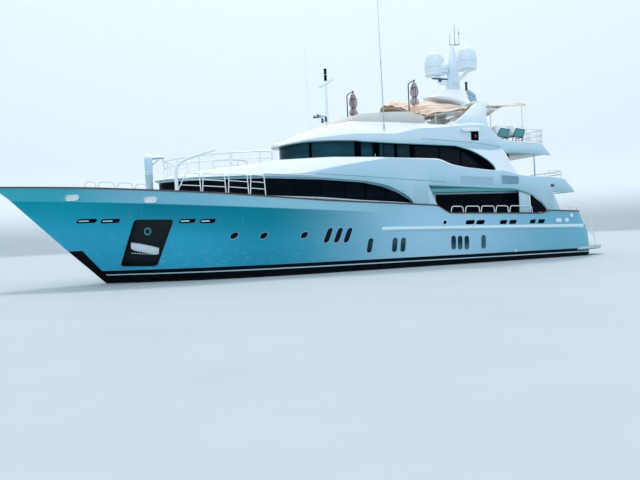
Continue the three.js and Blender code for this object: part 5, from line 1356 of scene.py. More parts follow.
def inset(outline, distance):
    """Closed outline moved inwards, or outwards by a negative distance."""
    plan = [Vector(p) for p in outline]
    area = sum(a.x * b.y - b.x * a.y for a, b in zip(plan, plan[1:] + plan[:1]))
    inward = distance if area > 0 else -distance
    moved = []
    for i, point in enumerate(plan):
        before = (point - plan[i - 1]).normalized()
        after = (plan[(i + 1) % len(plan)] - point).normalized()
        normal = Vector((-before.y - after.y, before.x + after.x)).normalized()
        reach = inward / max(normal.dot(Vector((-before.y, before.x))), 0.35)
        moved.append((point.x + normal.x * reach, point.y + normal.y * reach))
    return moved


def standing(outline, low, high, thick):
    """Upright wall over a closed outline; low may be a function of x."""
    inner = inset(outline, thick)
    rings = []
    for (x, y), (u, v) in zip(outline, inner):
        foot = low(x) if callable(low) else low
        rings.append([(x, y, foot), (x, y, high), (u, v, high), (u, v, foot)])
    return Form().loft(rings, closed=True)


def slab(form, span, half, under, top, step=0.4):
    return form.loft([[(x, half(x), under), (x, half(x), top), (x, -half(x), top), (x, -half(x), under)]
                      for x in stations(*span, step)])


class YACHT_OT_decks(bpy.types.Operator):
    """Upper deck and sun deck with the plates and wings along their sides"""
    bl_idname = "yacht.decks"
    bl_label = "Decks"

    def execute(self, context):
        for name, side in SIDES:
            upper = side_plate(Form(), UPPER_SPAN, plate_b, plate_under, plate_crease, top_b, plate_top,
                               side)
            for wing in UPPER_CORNERS:
                hanging_wing(upper, wing, lambda x, z: plate_b(x), side)
            upper.box((-19.14, 0, 4.98), (-18.98, side * 3.98, 5.03))
            upper.box((-18.2, 0, 5.42), (-18.08, side * 4.12, 6.05))
            sun = side_plate(Form(), SUN_SPAN, sun_b, sun_under, sun_crease, sun_top_b, sun_top, side)
            hanging_wing(sun, SUN_WING, lambda x, z: wing_y(z), side)
            if side > 0:
                sun.turned((*WHIP, 0), [(0.05, 9.44), (0.1, 9.69), (0.1, 9.74), (0.0, 9.741)], 20)
            for deck, form in (("upper", upper), ("sun", sun)):
                piece = show(f"{deck}_plate_{name}", form, "house", replaces=(f"{deck}_side_{name}",),
                             angle=30, bevel=0.02)
                made_meshes[f"{deck}_{name}"] = piece.data
        self.upper_deck()
        self.sun_deck()
        return {"FINISHED"}

    def upper_deck(self):
        edge = PLATE / 2
        form = slab(Form(), (-18.98, -5.6), lambda x: plate_b(x) - edge, UPPER_AFT_UNDER, UPPER_AFT)
        slab(form, (-5.75, 6.5), lambda x: plate_b(x) - edge - 0.1 * clamp((x - 1.3) / 5), ROOF_UNDER,
             UPPER_FWD)
        form.box((-5.75, -4.3, UPPER_AFT_UNDER), (-5.6, 4.3, UPPER_FWD))
        for side in (1, -1):
            form.tube([(-15.86, side * 3.45, 5.32), (-15.86, side * 3.45, 8.0)], 0.06, 20)
        rings = []
        for x in stations(6.3, 12.38, 0.13):
            b, top = plate_b(x), roof_edge(x)
            port = [(1.0, ROOF_UNDER), (1.01, ROOF_UNDER + 0.07)]
            port += [(1 - 0.24 * k / 6,
                      ROOF_UNDER + 0.07 + (top - ROOF_UNDER - 0.05) * (1 - (1 - k / 6) ** 1.7))
                     for k in range(1, 7)]
            port += [(0.5, top + 0.075), (0.25, top + 0.095), (0, top + 0.1)]
            rings.append(both_sides([(x, b * s, z) for s, z in port]))
        show("upper_decking", form.loft(rings), "upper_decks", replaces=("upper_deck",), angle=24,
             bevel=0.012)

    def sun_deck(self):
        edge = lambda x: sun_b(x) - PLATE * 0.8
        form = slab(Form(), (-12.4, -0.9), edge, SUN_UNDER, SUN_FWD)
        form.turned((FOREMAST_X, 0, 0), [(0.24, 10.2), (0.24, 10.32), (0.2, 10.46), (0.0, 10.461)], 28)
        soft = [eased(shape, 0.25) for shape in (sun_crease, sun_top_b, sun_top)]
        rings = []
        for x in stations(*BROW_SPAN, 0.11):
            b, under = sun_b(x), sun_under(x)
            crease, t, top = (shape(x) for shape in soft)
            t = min(t, b * 0.96)
            ring = [(x, 0, under), (x, b * 0.97, under), (x, b, under + 0.05), (x, b, crease - 0.02)]
            for s in (0.2, 0.4, 0.6, 0.8, 1.0):
                ring.append((x, b + (t - b) * s, crease + (top - crease) * (1 - (1 - s) ** 1.5)))
            rings.append(both_sides(ring + [(x, t * 0.5, top + 0.06), (x, 0, top + 0.08)]))
        show("sun_decking", form.loft(rings), "sun_decks", replaces=("sun_deck", "brow_eave"), angle=26,
             bevel=0.012)
        aft = slab(Form(), (-17.3, -12.3), edge, SUN_AFT - 0.25, SUN_AFT)
        show("sun_decking_aft", aft, "sun_decks", replaces=("sun_deck_aft",), angle=24, bevel=0.012)


# Houses: port outlines from aft forward, and the bands of glass as x, z
HOUSE = [(-5.05, 4.2), (-2, 4.12), (2, 3.92), (6, 3.5), (8.5, 2.95), (10.2, 2.3), (11.3, 1.6), (11.95, 0.8),
         (12.15, 0)]
HOUSE_BAND = [(12.6, 6.4), (5.8, 6.4), (2.0, 6.22), (-0.9, 5.98), (-2.4, 5.66), (-3.5, 5.22), (-4.4, 4.68),
              (-4.6, 4.5), (-0.8, 4.78), (2.1, 5.05), (6.3, 5.3), (12.6, 5.55)]
HOUSE_BARS = [10.4, 8.3, 6.1, 4.02, 2.14, 0.41, -1.07, -2.6]
LOUNGE = [(-12.6, 3.4), (-9, 3.46), (-5.5, 3.46), (-2, 3.45), (0, 3.28), (1.2, 2.95), (2.2, 2.4),
          (2.95, 1.6), (3.4, 0.7), (3.52, 0)]
LOUNGE_BAND = [(4, 8.92), (-8.4, 8.84), (-10.2, 8.55), (-11.6, 8.0), (-12.2, 7.3), (-12.2, 6.6),
               (-9.2, 6.6), (-7.4, 7.35), (4, 7.55)]
# Black pillars between the upper panes: x and width
LOUNGE_BARS = [(2.1, 0.36), (-1.03, 0.65), (-3.88, 0.27), (-5.2, 0.44), (-7.4, 0.12), (-9.2, 0.12)]
DOORWAY = {"fore": -2.1, "aft": -2.86, "foot": 6.82, "head": 8.86}
# Screens at the after ends of the recess and the lounge, as x, z
RECESS_PANEL = [(-13.62, 3.46), (-13.62, 5.16), (-14.58, 4.88), (-14.58, 3.46)]
RECESS_PANE = [(-14.66, 3.46), (-14.66, 4.86), (-14.9, 4.73), (-15.6, 4.27), (-16.08, 3.73), (-16.2, 3.56)]
LOUNGE_CORNER = [(-12.45, 8.08), (-13.5, 8.08), (-13.56, 7.3), (-13.2, 7.0), (-12.45, 7.4)]
SALOON_BARS = [-8.2, -9.4, -10.65, -11.9, -13.1]


def house_plan(points):
    """Smooth closed plan of a house, mirrored, its bow rounded."""
    return spline(both_sides(points), 0.22)


def band_height(band, x):
    """Lower and upper edge of a band at a place."""
    hits = []
    for (x0, z0), (x1, z1) in zip(band, band[1:] + band[:1]):
        if min(x0, x1) <= x <= max(x0, x1) and x0 != x1:
            hits.append(z0 + (z1 - z0) * (x - x0) / (x1 - x0))
    return (min(hits), max(hits)) if hits else None


class YACHT_OT_houses(bpy.types.Operator):
    """Walls of the houses with their windows cut, and the dark glass behind"""
    bl_idname = "yacht.houses"
    bl_label = "Houses"

    def execute(self, context):
        doorway = Form().box((DOORWAY["aft"], -5, DOORWAY["foot"]),
                             (DOORWAY["fore"], 5, DOORWAY["head"] - 0.04))
        lounge_foot = lambda x: UPPER_AFT + 0.001 if x < -5.7 else UPPER_FWD + 0.001
        rows = [("main", HOUSE, HOUSE_BAND, deck_z, ROOF_UNDER - 0.002, [], "night_glass",
                 ("main_house_walls",), ("main_house_glass",)),
                ("lounge", LOUNGE, LOUNGE_BAND, lounge_foot, SUN_UNDER - 0.002, [doorway], "glass",
                 ("lounge_walls",), ("wheelhouse_glass", "lounge_glass_port", "lounge_glass_starboard"))]
        for name, points, band, foot, head, doors, coat, wall_nodes, glass_nodes in rows:
            plan = house_plan(points)
            heights = [z for _, z in band]
            walls = carved(standing(plan, foot, head, 0.12).mesh(name),
                           [Form().plate(softened(band, 0.3, 5), -6, 6), *doors])
            show(f"{name}_house", walls, "house", replaces=wall_nodes, angle=26)
            glass = standing(inset(plan, 0.035), min(heights) - 0.1, min(max(heights) + 0.1, head),
                             0.035).mesh(name)
            if doors:
                glass = carved(glass, doors)
            made_meshes[name] = show(f"{name}_panes", glass, coat, replaces=glass_nodes, angle=26).data
        self.pillars()
        return {"FINISHED"}

    def pillars(self):
        slim, wide, dark, light = (Form() for _ in range(4))
        main, lounge = Surface(made_meshes["main"]), Surface(made_meshes["lounge"])
        slim_rows = [(x, 0.09) for x in HOUSE_BARS]
        for side in (1, -1):
            for form, glass, band, rows, proud in ((slim, main, HOUSE_BAND, slim_rows, 0.012),
                                                   (wide, lounge, LOUNGE_BAND, LOUNGE_BARS, 0.014)):
                for x, width in rows:
                    low, high = band_height(band, x)
                    strip_on(form, glass, [(x, low), (x, high)], width, proud, side, 0.01)
            for x in SALOON_BARS:
                slim.box((x - 0.04, side * 3.37, 3.36), (x + 0.04, side * 3.392, 5.05))
            for form, outline, y in ((dark, RECESS_PANE, 4.33), (dark, LOUNGE_CORNER, 3.42),
                                     (light, RECESS_PANEL, 4.34)):
                form.plate(outline, side * (y - 0.03), side * y)
        show("window_bars", slim, "black")
        show("window_pillars", wide, "black")
        show("corner_panes", dark, "night_glass", angle=30)
        show("corner_panels", light, "house", angle=30, bevel=0.01)


# Lines and trims on the plates

UPPER_GROOVE = [(2.52, 6.59), (0.23, 6.42), (-2.0, 6.26), (-4.32, 6.08), (-7.17, 5.89)]
UPPER_SWEEP = [(3.3, 6.66), (2.2, 6.86), (1.0, 7.07), (-0.1, 7.22), (-1.1, 7.38)]
SUN_GROOVE = [(-5.79, 9.03), (-8.07, 8.9), (-10.63, 8.7), (-12.6, 8.46)]
SUN_SWEEP = [(-3.97, 9.39), (-4.8, 9.61), (-5.59, 9.74), (-6.9, 9.8), (-8.13, 9.9), (-9.11, 10.04),
             (-9.98, 10.1)]
NAMEBOARD = [(-8.32, 6.3), (-8.56, 5.76), (-11.16, 5.62), (-11.2, 6.2)]
VENT = [(-16.52, 5.6), (-16.86, 5.6), (-16.86, 5.4), (-16.52, 5.4)]
LOUVRE = [(-11.9, 6.42), (-13.55, 6.2), (-13.55, 5.62), (-11.88, 5.68)]


class YACHT_OT_plate_trims(bpy.types.Operator):
    """Scored lines drawn in painted shadow, raised sweeps, bare nameboards, louvres, vents and ledges on
    the side plates
    """
    bl_idname = "yacht.plate_trims"
    bl_label = "Plate trims"

    def execute(self, context):
        grooves, sweeps, boards, louvres, dark = (Form() for _ in range(5))
        count = size("louvres")
        for name, side in SIDES:
            upper, sun = (Surface(made_meshes[f"{deck}_{name}"]) for deck in ("upper", "sun"))
            # Grooves are drawn as dark strips of painted shadow, sweeps as raised mouldings
            for form, surface, points, width, proud in ((grooves, upper, UPPER_GROOVE, 0.035, 0.006),
                                                        (sweeps, upper, UPPER_SWEEP, 0.07, 0.014),
                                                        (grooves, sun, SUN_GROOVE, 0.035, 0.006),
                                                        (sweeps, sun, SUN_SWEEP, 0.06, 0.016)):
                strip_on(form, surface, spline(points, 0.25), width, proud, side)
            for form, outline, out, corner in ((boards, NAMEBOARD, 0.014, 0.12),
                                               (boards, LOUVRE, 0.016, 0.2), (dark, VENT, 0.012, 0.05)):
                edge = softened(outline, corner, 4)
                form.loft([[(x, side * (plate_b(x) + step), z) for x, z in edge] for step in (-0.02, out)])
            for k in range(count):
                z = middle_of(LOUVRE)[1] - 0.26 + 0.51 * k / max(count - 1, 1)
                run = [(-12.02 - 0.18 * i, z - 0.02 * i * 0.18) for i in range(9)]
                louvres.tube([(x, side * (plate_b(x) + 0.02), h) for x, h in run], 0.022, 8)
        for name, form, coat in (("grooves", grooves, "line"), ("sweeps", sweeps, "pale_line"),
                                 ("boards", boards, "grey"), ("louvres", louvres, "line"),
                                 ("vents", dark, "dark")):
            show(f"plate_{name}", form, coat)
        self.edges()
        return {"FINISHED"}

    def edges(self):
        """Ledge under the house's windows, handrails, and teal strips of painted shade along the plates'
        lower edges.
        """
        ledge, edges, grabs = Form(), Form(), []
        for side in (1, -1):
            run = [(x, y) for x, y in inset(house_plan(HOUSE), -0.008) if y * side > 0.05 and x > -4.3]
            ledge.tube([(x, y, band_height(HOUSE_BAND, min(x, 12.5))[0] - 0.05) for x, y in run], 0.05, 8)
            rail = [(x, side * (plate_b(x) + 0.07), 6.68 - 0.06 * (6.0 - x))
                    for x in stations(2.8, 6.0, 0.8)[::-1]]
            grabs += [rail] + [[(x, y, z), (x, y - side * 0.12, z)] for x, y, z in rail]
            # Painted shade: teal tubes under the plates' and the wing's lower edges
            for ends, half, under in ((FORE_WING, plate_b, fore_wing), (AFT_WING, plate_b, aft_wing),
                                      ((AFT_WING[1], FORE_WING[0] - 0.02), plate_b, plate_foot),
                                      ((-8.4, -1.0), sun_b, sun_under)):
                edges.tube([(x, side * (half(x) - 0.035), under(x)) for x in stations(*ends, 0.2)], 0.042,
                           8)
            low, high, fore, _ = SUN_WING
            levels = stations(low + 0.45, high - 0.12, 0.12)
            edges.tube([(fore(z), side * (wing_y(z) - 0.035), z) for z in levels], 0.042, 8)
        show("window_ledge", ledge, "white", angle=50)
        bars("plate_handrails", grabs, 0.036, bend=0.05)
        show("plate_edges", edges, "teal_edge", angle=50)


# Arch, mast and domes

ARCH_FORE = [(-9.0, 9.30), (-8.62, 9.85), (-8.72, 10.2), (-9.62, 10.8), (-10.42, 11.38), (-11.12, 11.88)]
ARCH_AFT = [(-12.2, 11.95), (-11.98, 11.45), (-11.8, 10.9), (-11.74, 10.45), (-11.86, 9.9), (-12.0, 9.66),
            (-12.15, 9.30)]
ARCH_BEAM = [(-12.2, 11.72), (-12.2, 12.01), (-12.1, 12.05), (-11.1, 12.05), (-10.95, 11.97),
             (-11.15, 11.72)]
# Half breadth of the arch by height
arch_y = curve((9.3, 3.36), (10.3, 3.38), (11.2, 3.12), (12, 2.78))
MAST_X = -11.05
MAST_FOOT = 13.2
MAST_HIGH = 3.8
MAST_RAKE = 0.12        # how far its head lies aft of its foot
# Mast fairing: height, x aft, x fore, half breadth
FAIRING = [(12.051, -12.15, -10.95, 1.2), (12.38, -12.17, -10.3, 1.15), (12.6, -12.2, -8.75, 1.02),
           (12.66, -12.2, -8.5, 0.99), (12.75, -12.2, -8.5, 0.96), (12.82, -12.2, -8.62, 0.93),
           (12.96, -12.17, -9.1, 0.82), (13.1, -12.15, -9.6, 0.7), (13.28, -12.05, -10.05, 0.56),
           (13.42, -11.9, -10.4, 0.42)]
# Domes: x, y, height of the seat, radius, height of the dome
DOMES = {"port": (-10.86, 2.3, 14.45, 0.75, 1.76), "starboard": (-10.9, -2.3, 14.98, 0.83, 1.95),
         "small": (-10.33, 0.0, 14.75, 0.30, 0.70)}
# Outline of a dome: radius and height as shares of the whole
DOME_ROWS = [(0.62, 0.0), (0.90, 0.005), (0.985, 0.03), (0.985, 0.10), (0.955, 0.115), (0.965, 0.16),
             (0.995, 0.30), (1.0, 0.45), (0.985, 0.56), (0.94, 0.67), (0.86, 0.77), (0.74, 0.86),
             (0.57, 0.93), (0.36, 0.975), (0.16, 0.996), (0.0, 1.0)]
# Radar scanner: x, height of its seat, half length of its bar
SCANNER = (-9.9, 13.98, 0.72)
# Outlines of a horn and a sidelight: radius and how far along
HORN = [(0.03, 0.0), (0.035, 0.3), (0.06, 0.5), (0.11, 0.62), (0.12, 0.64), (0.0, 0.6)]
SIDELIGHT = [(0.0, 0.0), (0.05, 0.0), (0.065, 0.04), (0.065, 0.2), (0.05, 0.24), (0.0, 0.24)]


def blob_ring(x0, x1, half, z, power):
    """Level ring with full rounded corners, from x0 to x1."""
    ring = []
    for a in turns(36):
        u, v = (copysign(abs(wave) ** (2 / power), wave) for wave in (cos(a), sin(a)))
        ring.append(((x0 + x1) / 2 + (x1 - x0) / 2 * u, half * v, z))
    return ring


class YACHT_OT_arch(bpy.types.Operator):
    """Arch over the sun deck, with its shelf, niches and sidelights"""
    bl_idname = "yacht.arch"
    bl_label = "Arch"

    def execute(self, context):
        edge = spline(ARCH_FORE, 0.16) + [(-11.35, 11.95)] + spline(ARCH_AFT, 0.2)
        bracket = [(-11.78, 10.9), (-12.0, 11.2), (-12.5, 11.4), (-11.9, 11.44)]
        arch = Form()
        for side in (1, -1):
            arch.loft([[(x, side * (arch_y(z) + step), z) for x, z in edge] for step in (0.0, -0.26)])
        arch.plate(ARCH_BEAM, -2.72, 2.72)
        arch.box((-13.0, -2.9, 11.42), (-11.8, 2.9, 11.52))
        for side in (1, -1):
            arch.plate(bracket, side * 2.85, side * 2.6)
        show("arch", arch, "house", replaces=("radar_arch",), angle=30, bevel=0.035)
        brows, niches = Form(), Form()
        niche = softened([(-9.87, 9.6), (-10.51, 9.6), (-10.51, 8.93), (-9.87, 8.93)], 0.06, 3)
        brow = softened([(-8.95, 9.72), (-9.6, 9.84), (-10.4, 9.84), (-10.6, 9.74), (-10.5, 9.6),
                         (-9.1, 9.56)],
                        0.03, 3)
        skin = sun_b(-10.7)
        for side in (1, -1):
            niches.plate(niche, side * (skin - 0.02), side * (skin + 0.02))
            brows.plate(brow, side * (skin - 0.04), side * (skin + 0.19))
        show("sidelight_brows", brows, "white", bevel=0.012)
        show("sidelight_niches", niches, "black")
        for name, side in SIDES:
            lamp = Form().turned((-10.2, side * (skin + 0.05), 9.12), SIDELIGHT, 20)
            show(f"sidelight_{name}", lamp, "red_lamp" if side > 0 else "green_lamp")
        return {"FINISHED"}


class YACHT_OT_mast(bpy.types.Operator):
    """Mast with its fairing, arms, domes, scanner, aerials and lamps"""
    bl_idname = "yacht.mast"
    bl_label = "Mast"

    def execute(self, context):
        mast = Form().loft([blob_ring(aft, fore, half, z, 3.0) for z, aft, fore, half in FAIRING])
        width = curve((13.2, 0.60), (14.4, 0.50), (15.4, 0.40), (16.3, 0.22), (17.0, 0.07))
        rings = []
        for z in stations(MAST_FOOT, MAST_FOOT + MAST_HIGH, 0.19):
            x, half = MAST_X - MAST_RAKE * (z - MAST_FOOT) / MAST_HIGH, width(z)
            rings.append(blob_ring(x - half, x + half, half * 0.8, z, 2.2))
        mast.loft(rings)
        for x, y, seat, _, _ in (DOMES["port"], DOMES["starboard"]):
            arm = [(MAST_X, 0, 14.0), (MAST_X + 0.02, y * 0.3, 14.06),
                   (MAST_X + 0.04, y * 0.62, seat - 0.3), (x, y, seat - 0.1)]
            mast.tube(spline(arm, 0.12), 0.19, 20, 0.11)
            mast.turned((x, y, seat), [(0.0, -0.16), (0.2, -0.16), (0.4, -0.05), (0.42, -0.02), (0.42, 0.0),
                                       (0.0, 0.0)], 28)
        x, z, _ = SCANNER
        mast.tube([(MAST_X, 0, 13.85), (x, 0, 13.85)], 0.09, 16)
        mast.turned((x, 0, z), [(0.0, -0.16), (0.1, -0.16), (0.17, -0.05), (0.17, 0.0), (0.0, 0.0)], 24)
        x, _, z, _, _ = DOMES["small"]
        mast.tube([(MAST_X, 0, 14.62), (x, 0, 14.65)], 0.06, 14)
        mast.turned((x, 0, z), [(0.0, -0.16), (0.08, -0.16), (0.16, -0.05), (0.16, 0.0), (0.0, 0.0)], 22)
        show("mast_frame", mast, "house", replaces=("mast",), angle=34)
        outline = [(-12.1, 12.2), (-12.1, 13.3), (-12.44, 13.48), (-13.08, 13.12), (-13.19, 12.42),
                   (-12.6, 12.36)]
        fin = Form().plate(softened(outline, 0.07, 3), -0.12, 0.12)
        show("mast_fin", fin, "grey", angle=34, bevel=0.02)
        spots = [((-12.36 - 0.24 * k, side * 0.12, 13.16 - 0.1 * k), turn_to((0, side, 0)), (1, 1, 1))
                 for side in (1, -1) for k in range(3)]
        spot = Form().turned((0, 0, 0), [(0.045, -0.01), (0.045, 0.012), (0.0, 0.016)], 14)
        fittings("mast_fin_spots", spot, spots, "dark")
        seams = Form()
        for name, (x, y, seat, radius, high) in DOMES.items():
            rows = [(radius * r, 0.001 + (high - 0.001) * h) for r, h in DOME_ROWS]
            show(f"dome_shell_{name}", Form().turned((x, y, seat), rows, 48), "gelcoat",
                 replaces=(f"dome_{name}",), angle=30)
            seams.tube(circle(x, y, seat + high * 0.34, radius, 40), 0.008, 6, closed=True)
        # Painted shadow: dark lines round the domes' seams
        show("dome_seams", seams, "line", angle=50)
        self.scanner()
        self.aerials()
        return {"FINISHED"}

    def scanner(self):
        x, z, reach = SCANNER
        form = Form().turned((x, 0, z),
                             [(0.0, 0.001), (0.15, 0.001), (0.155, 0.06), (0.13, 0.18), (0.08, 0.22),
                              (0.0, 0.221)], 28)
        rings = []
        for s in (-1 + 2 * k / 14 for k in range(15)):
            half = 0.07 * (1 - 0.35 * abs(s) ** 4)
            rings.append([(x + reach * s, half * cos(a), z + 0.27 + 0.07 * sin(a) * (1 - 0.3 * abs(s) ** 4))
                          for a in turns(16)])
        show("scanner_bar", form.loft(rings), "navy", body="radar_scanner", replaces=("radar_scanner",))

    def aerials(self):
        rods = Form()
        for x, low, high, radius in ((-11.4, 17.02, 18.63, 0.022), (-10.94, 16.98, 17.81, 0.018),
                                     (-11.79, 16.98, 18.26, 0.016)):
            rods.tube([(x, 0, low), (x, 0, high)], radius, 8, radius * 0.6)
        rods.tube([(-11.8, 0, 17.02), (-10.93, 0, 16.96)], 0.03, 10)
        rods.turned((-11.79, 0, 17.9),
                    [(0.0, -0.06), (0.045, -0.04), (0.06, 0), (0.045, 0.04), (0.0, 0.06)], 14)
        show("mast_aerials", rods, "dark", angle=50)
        lamp = Form().turned((0, 0, 0),
                             [(0.0, 0.0), (0.10, 0.0), (0.10, 0.05), (0.085, 0.07), (0.085, 0.24),
                              (0.10, 0.26), (0.10, 0.30), (0.05, 0.34), (0.0, 0.345)], 20)
        fittings("mast_lamps", lamp, [((-12.3, 0, 13.45), (0, 0, 0), (1.1, 1.1, 2.0))], "dark")


# Foremast, whip and lamps on the brow

class YACHT_OT_foremast(bpy.types.Operator):
    """Foremast with its crosstree, lamps and horns, and the tall whip on the port plate"""
    bl_idname = "yacht.foremast"
    bl_label = "Foremast"

    def execute(self, context):
        x = FOREMAST_X
        form = Form().turned((x, 0, 10.461),
                             [(0.0, 0.0), (0.17, 0.0), (0.17, 0.05), (0.12, 0.3), (0.1, 0.5),
                              (0.0, 0.5)], 24)
        form.tube([(x, 0, 10.66), (x, 0, 12.6), (x, 0, 14.2)], 0.105, 20, 0.075)
        form.tube([(x, -1.22, 13.45), (x, 1.22, 13.45)], 0.045, 14)
        for y in (-1.15, -0.6, 0.6, 1.15):
            form.turned((x, y, 13.45),
                        [(0.0, 0.02), (0.07, 0.02), (0.075, 0.06), (0.05, 0.18), (0.0, 0.2)], 18)
        for z in (11.4, 12.3):
            form.turned((x, 0, z), [(0.09, -0.04), (0.13, -0.03), (0.13, 0.03), (0.09, 0.04)], 20)
        show("foremast_post", form, "white", replaces=("foremast",))
        lamp = Form().turned((0, 0, 0), [(0.0, 0.0), (0.12, 0.0), (0.12, 0.06), (0.10, 0.08), (0.10, 0.30),
                                         (0.12, 0.32), (0.12, 0.36), (0.0, 0.38)], 22)
        fittings("foremast_lamps", lamp, [((x, 0, z), (0, 0, 0), (1, 1, 1.1)) for z in (13.72, 14.18)],
                 "black")
        horns = Form()
        for y in (0.32, -0.32):
            horns.turned((x + 0.27, y, 11.07), HORN, 20, axis=(1, 0, 0.05))
            horns.turned((x + 0.24, y, 10.69),
                         [(0.0, 0.0), (0.09, 0.0), (0.09, 0.28), (0.05, 0.36), (0.0, 0.36)], 18)
        show("horns", horns, "navy")
        whip = Form().turned((*WHIP, 9.7408), [(0.0, 0.0), (0.055, 0.0), (0.06, 0.12), (0.045, 0.3),
                                               (0.0, 0.3)], 16)
        whip.tube([(*WHIP, 9.9), (-2.95, 3.5, 14.3)], 0.034, 12, 0.03)
        whip.turned((-2.95, 3.5, 14.28), [(0.0, 0.0), (0.05, 0.0), (0.05, 0.16), (0.0, 0.16)], 14)
        whip.tube([(-2.95, 3.5, 14.35), (-2.88, 3.5, 19.4)], 0.026, 10, 0.014)
        show("whip", whip, "grey", replaces=("whip_antenna",))
        thin = Form().tube([(1.55, 0.9, 9.98), (1.72, 0.9, 16.4)], 0.016, 8, 0.008)
        thin.turned((1.55, 0.9, 9.95), [(0.0, 0.0), (0.05, 0.0), (0.05, 0.12), (0.02, 0.2), (0.0, 0.2)], 14)
        show("thin_whip", thin, "rail")
        return {"FINISHED"}


# Canvas

AWNING_HALF = 2.4       # half width of an awning
# Awnings at each hoop: x, height of the crown, height of the edge, how far the edge lies aft
AWNING_FORE = [(-4.85, 12.0, 11.05, 1.55), (-5.65, 12.3, 11.05, 1.15), (-7.9, 12.45, 11.2, 0),
               (-10.1, 12.2, 11.5, 0), (-10.8, 12.05, 11.7, 0)]
AWNING_AFT = [(-12.35, 12.2, 11.84, 0), (-12.75, 12.23, 11.82, 0), (-15.7, 12.38, 11.92, 0),
              (-16.1, 12.4, 12.02, 0)]
CLOTH = 0.012           # thickness of the cloth
AWNING_GRID = 72        # squares each way in an awning's cloth
HEM_STEPS = 60          # steps along each of its edges
# Rise of an awning across the ship, as a share
arc = curve((-1, 0), (-0.55, 0.72), (0, 1), (0.55, 0.72), (1, 0))


def awning_top(rows, along, over, ripple):
    """Point on an awning: along from 0 at its fore edge to 1, over from -1 to 1 across the ship."""
    s = along * (len(rows) - 1)
    x, crown, edge, rake = (curve(*enumerate(column))(s) for column in zip(*rows))
    rise = arc(over)
    sag = ripple["sag"] * sin(pi * (s % 1.0)) ** 2
    fold = ripple["depth"] * sin(over * ripple["count"] + 0.8 * sin(along * 5.0))
    fold *= 0.6 + 0.4 * sin(along * 9.0 + over * 3.0)
    return (x - rake * (1 - rise), AWNING_HALF * over, edge + (crown - edge) * rise - sag + fold)


def sheet_form(point, count):
    """Thin closed cloth over a square grid: point(u, v) with u and v from 0 to 1."""
    top = [Vector(point(i / count, j / count)) for i in range(count + 1) for j in range(count + 1)]
    n, layer = count + 1, (count + 1) ** 2
    faces = []
    for i in range(count):
        for j in range(count):
            a, b, c, d = i * n + j, i * n + j + 1, (i + 1) * n + j + 1, (i + 1) * n + j
            faces += [(a, b, c, d), (layer + d, layer + c, layer + b, layer + a)]
    rim = list(range(count)) + [i * n + count for i in range(count)]
    rim += [count * n + count - j for j in range(count)] + [(count - i) * n for i in range(count)]
    faces += [(a, layer + a, layer + b, b) for a, b in zip(rim, rim[1:] + rim[:1])]
    return Form().add(top + [p - Vector((0, 0, CLOTH)) for p in top], faces)


class YACHT_OT_awnings(bpy.types.Operator):
    """Two stretched awnings on their hoops, with roped hems"""
    bl_idname = "yacht.awnings"
    bl_label = "Awnings"

    def execute(self, context):
        for name, rows, coat, ripple in (
                ("forward", AWNING_FORE, "tan",
                 {"sag": size("sag"), "depth": size("folds"), "count": 21.0}),
                ("aft", AWNING_AFT, "sand", {"sag": 0.04, "depth": 0.008, "count": 9.0})):
            top = lambda u, v: awning_top(rows, u, 2 * v - 1, ripple)
            cloth = show(f"awning_cloth_{name}", sheet_form(top, AWNING_GRID), coat,
                         replaces=(f"awning_{name}",), angle=70)
            long = sum(dist(top(k / 40, 0.25), top((k + 1) / 40, 0.25)) for k in range(40)) * SHIP
            n = HEM_STEPS
            edge = [top(0, k / n) for k in range(n + 1)] + [top(k / n, 1) for k in range(1, n + 1)]
            edge += [top(1, 1 - k / n) for k in range(1, n + 1)] + [top(1 - k / n, 0) for k in range(1, n)]
            hem = Form().tube([(x, y * 0.998, z - CLOTH / 2) for x, y, z in edge], 0.022, 8, closed=True)
            border = show(f"awning_hem_{name}", hem, coat, angle=60)
        return {"FINISHED"}


# Furled parasols: x and y of the pole, height of its top
PARASOLS = {"forward": (-1.42, 0.95, 12.84), "aft": (-5.5, 2.72, 13.43)}
PARASOL_ARM = 0.48
# Furled cloth: drop from the head, radius, depth of its folds
FURL = [(0.0, 0.05, 0.0), (0.04, 0.09, 0.1), (0.15, 0.135, 0.25), (0.5, 0.185, 0.42), (0.8, 0.205, 0.45),
        (1.02, 0.16, 0.38), (1.1, 0.125, 0.3), (1.2, 0.165, 0.4), (1.4, 0.215, 0.5), (1.6, 0.20, 0.5)]
FURL_ROWS = 48
FURL_ROUND = 160
# Padded cover over each foot: drop from the head, radius
PARASOL_FOOT = [(1.66, 0.10), (1.75, 0.16), (1.95, 0.26), (2.15, 0.36), (2.3, 0.40)]


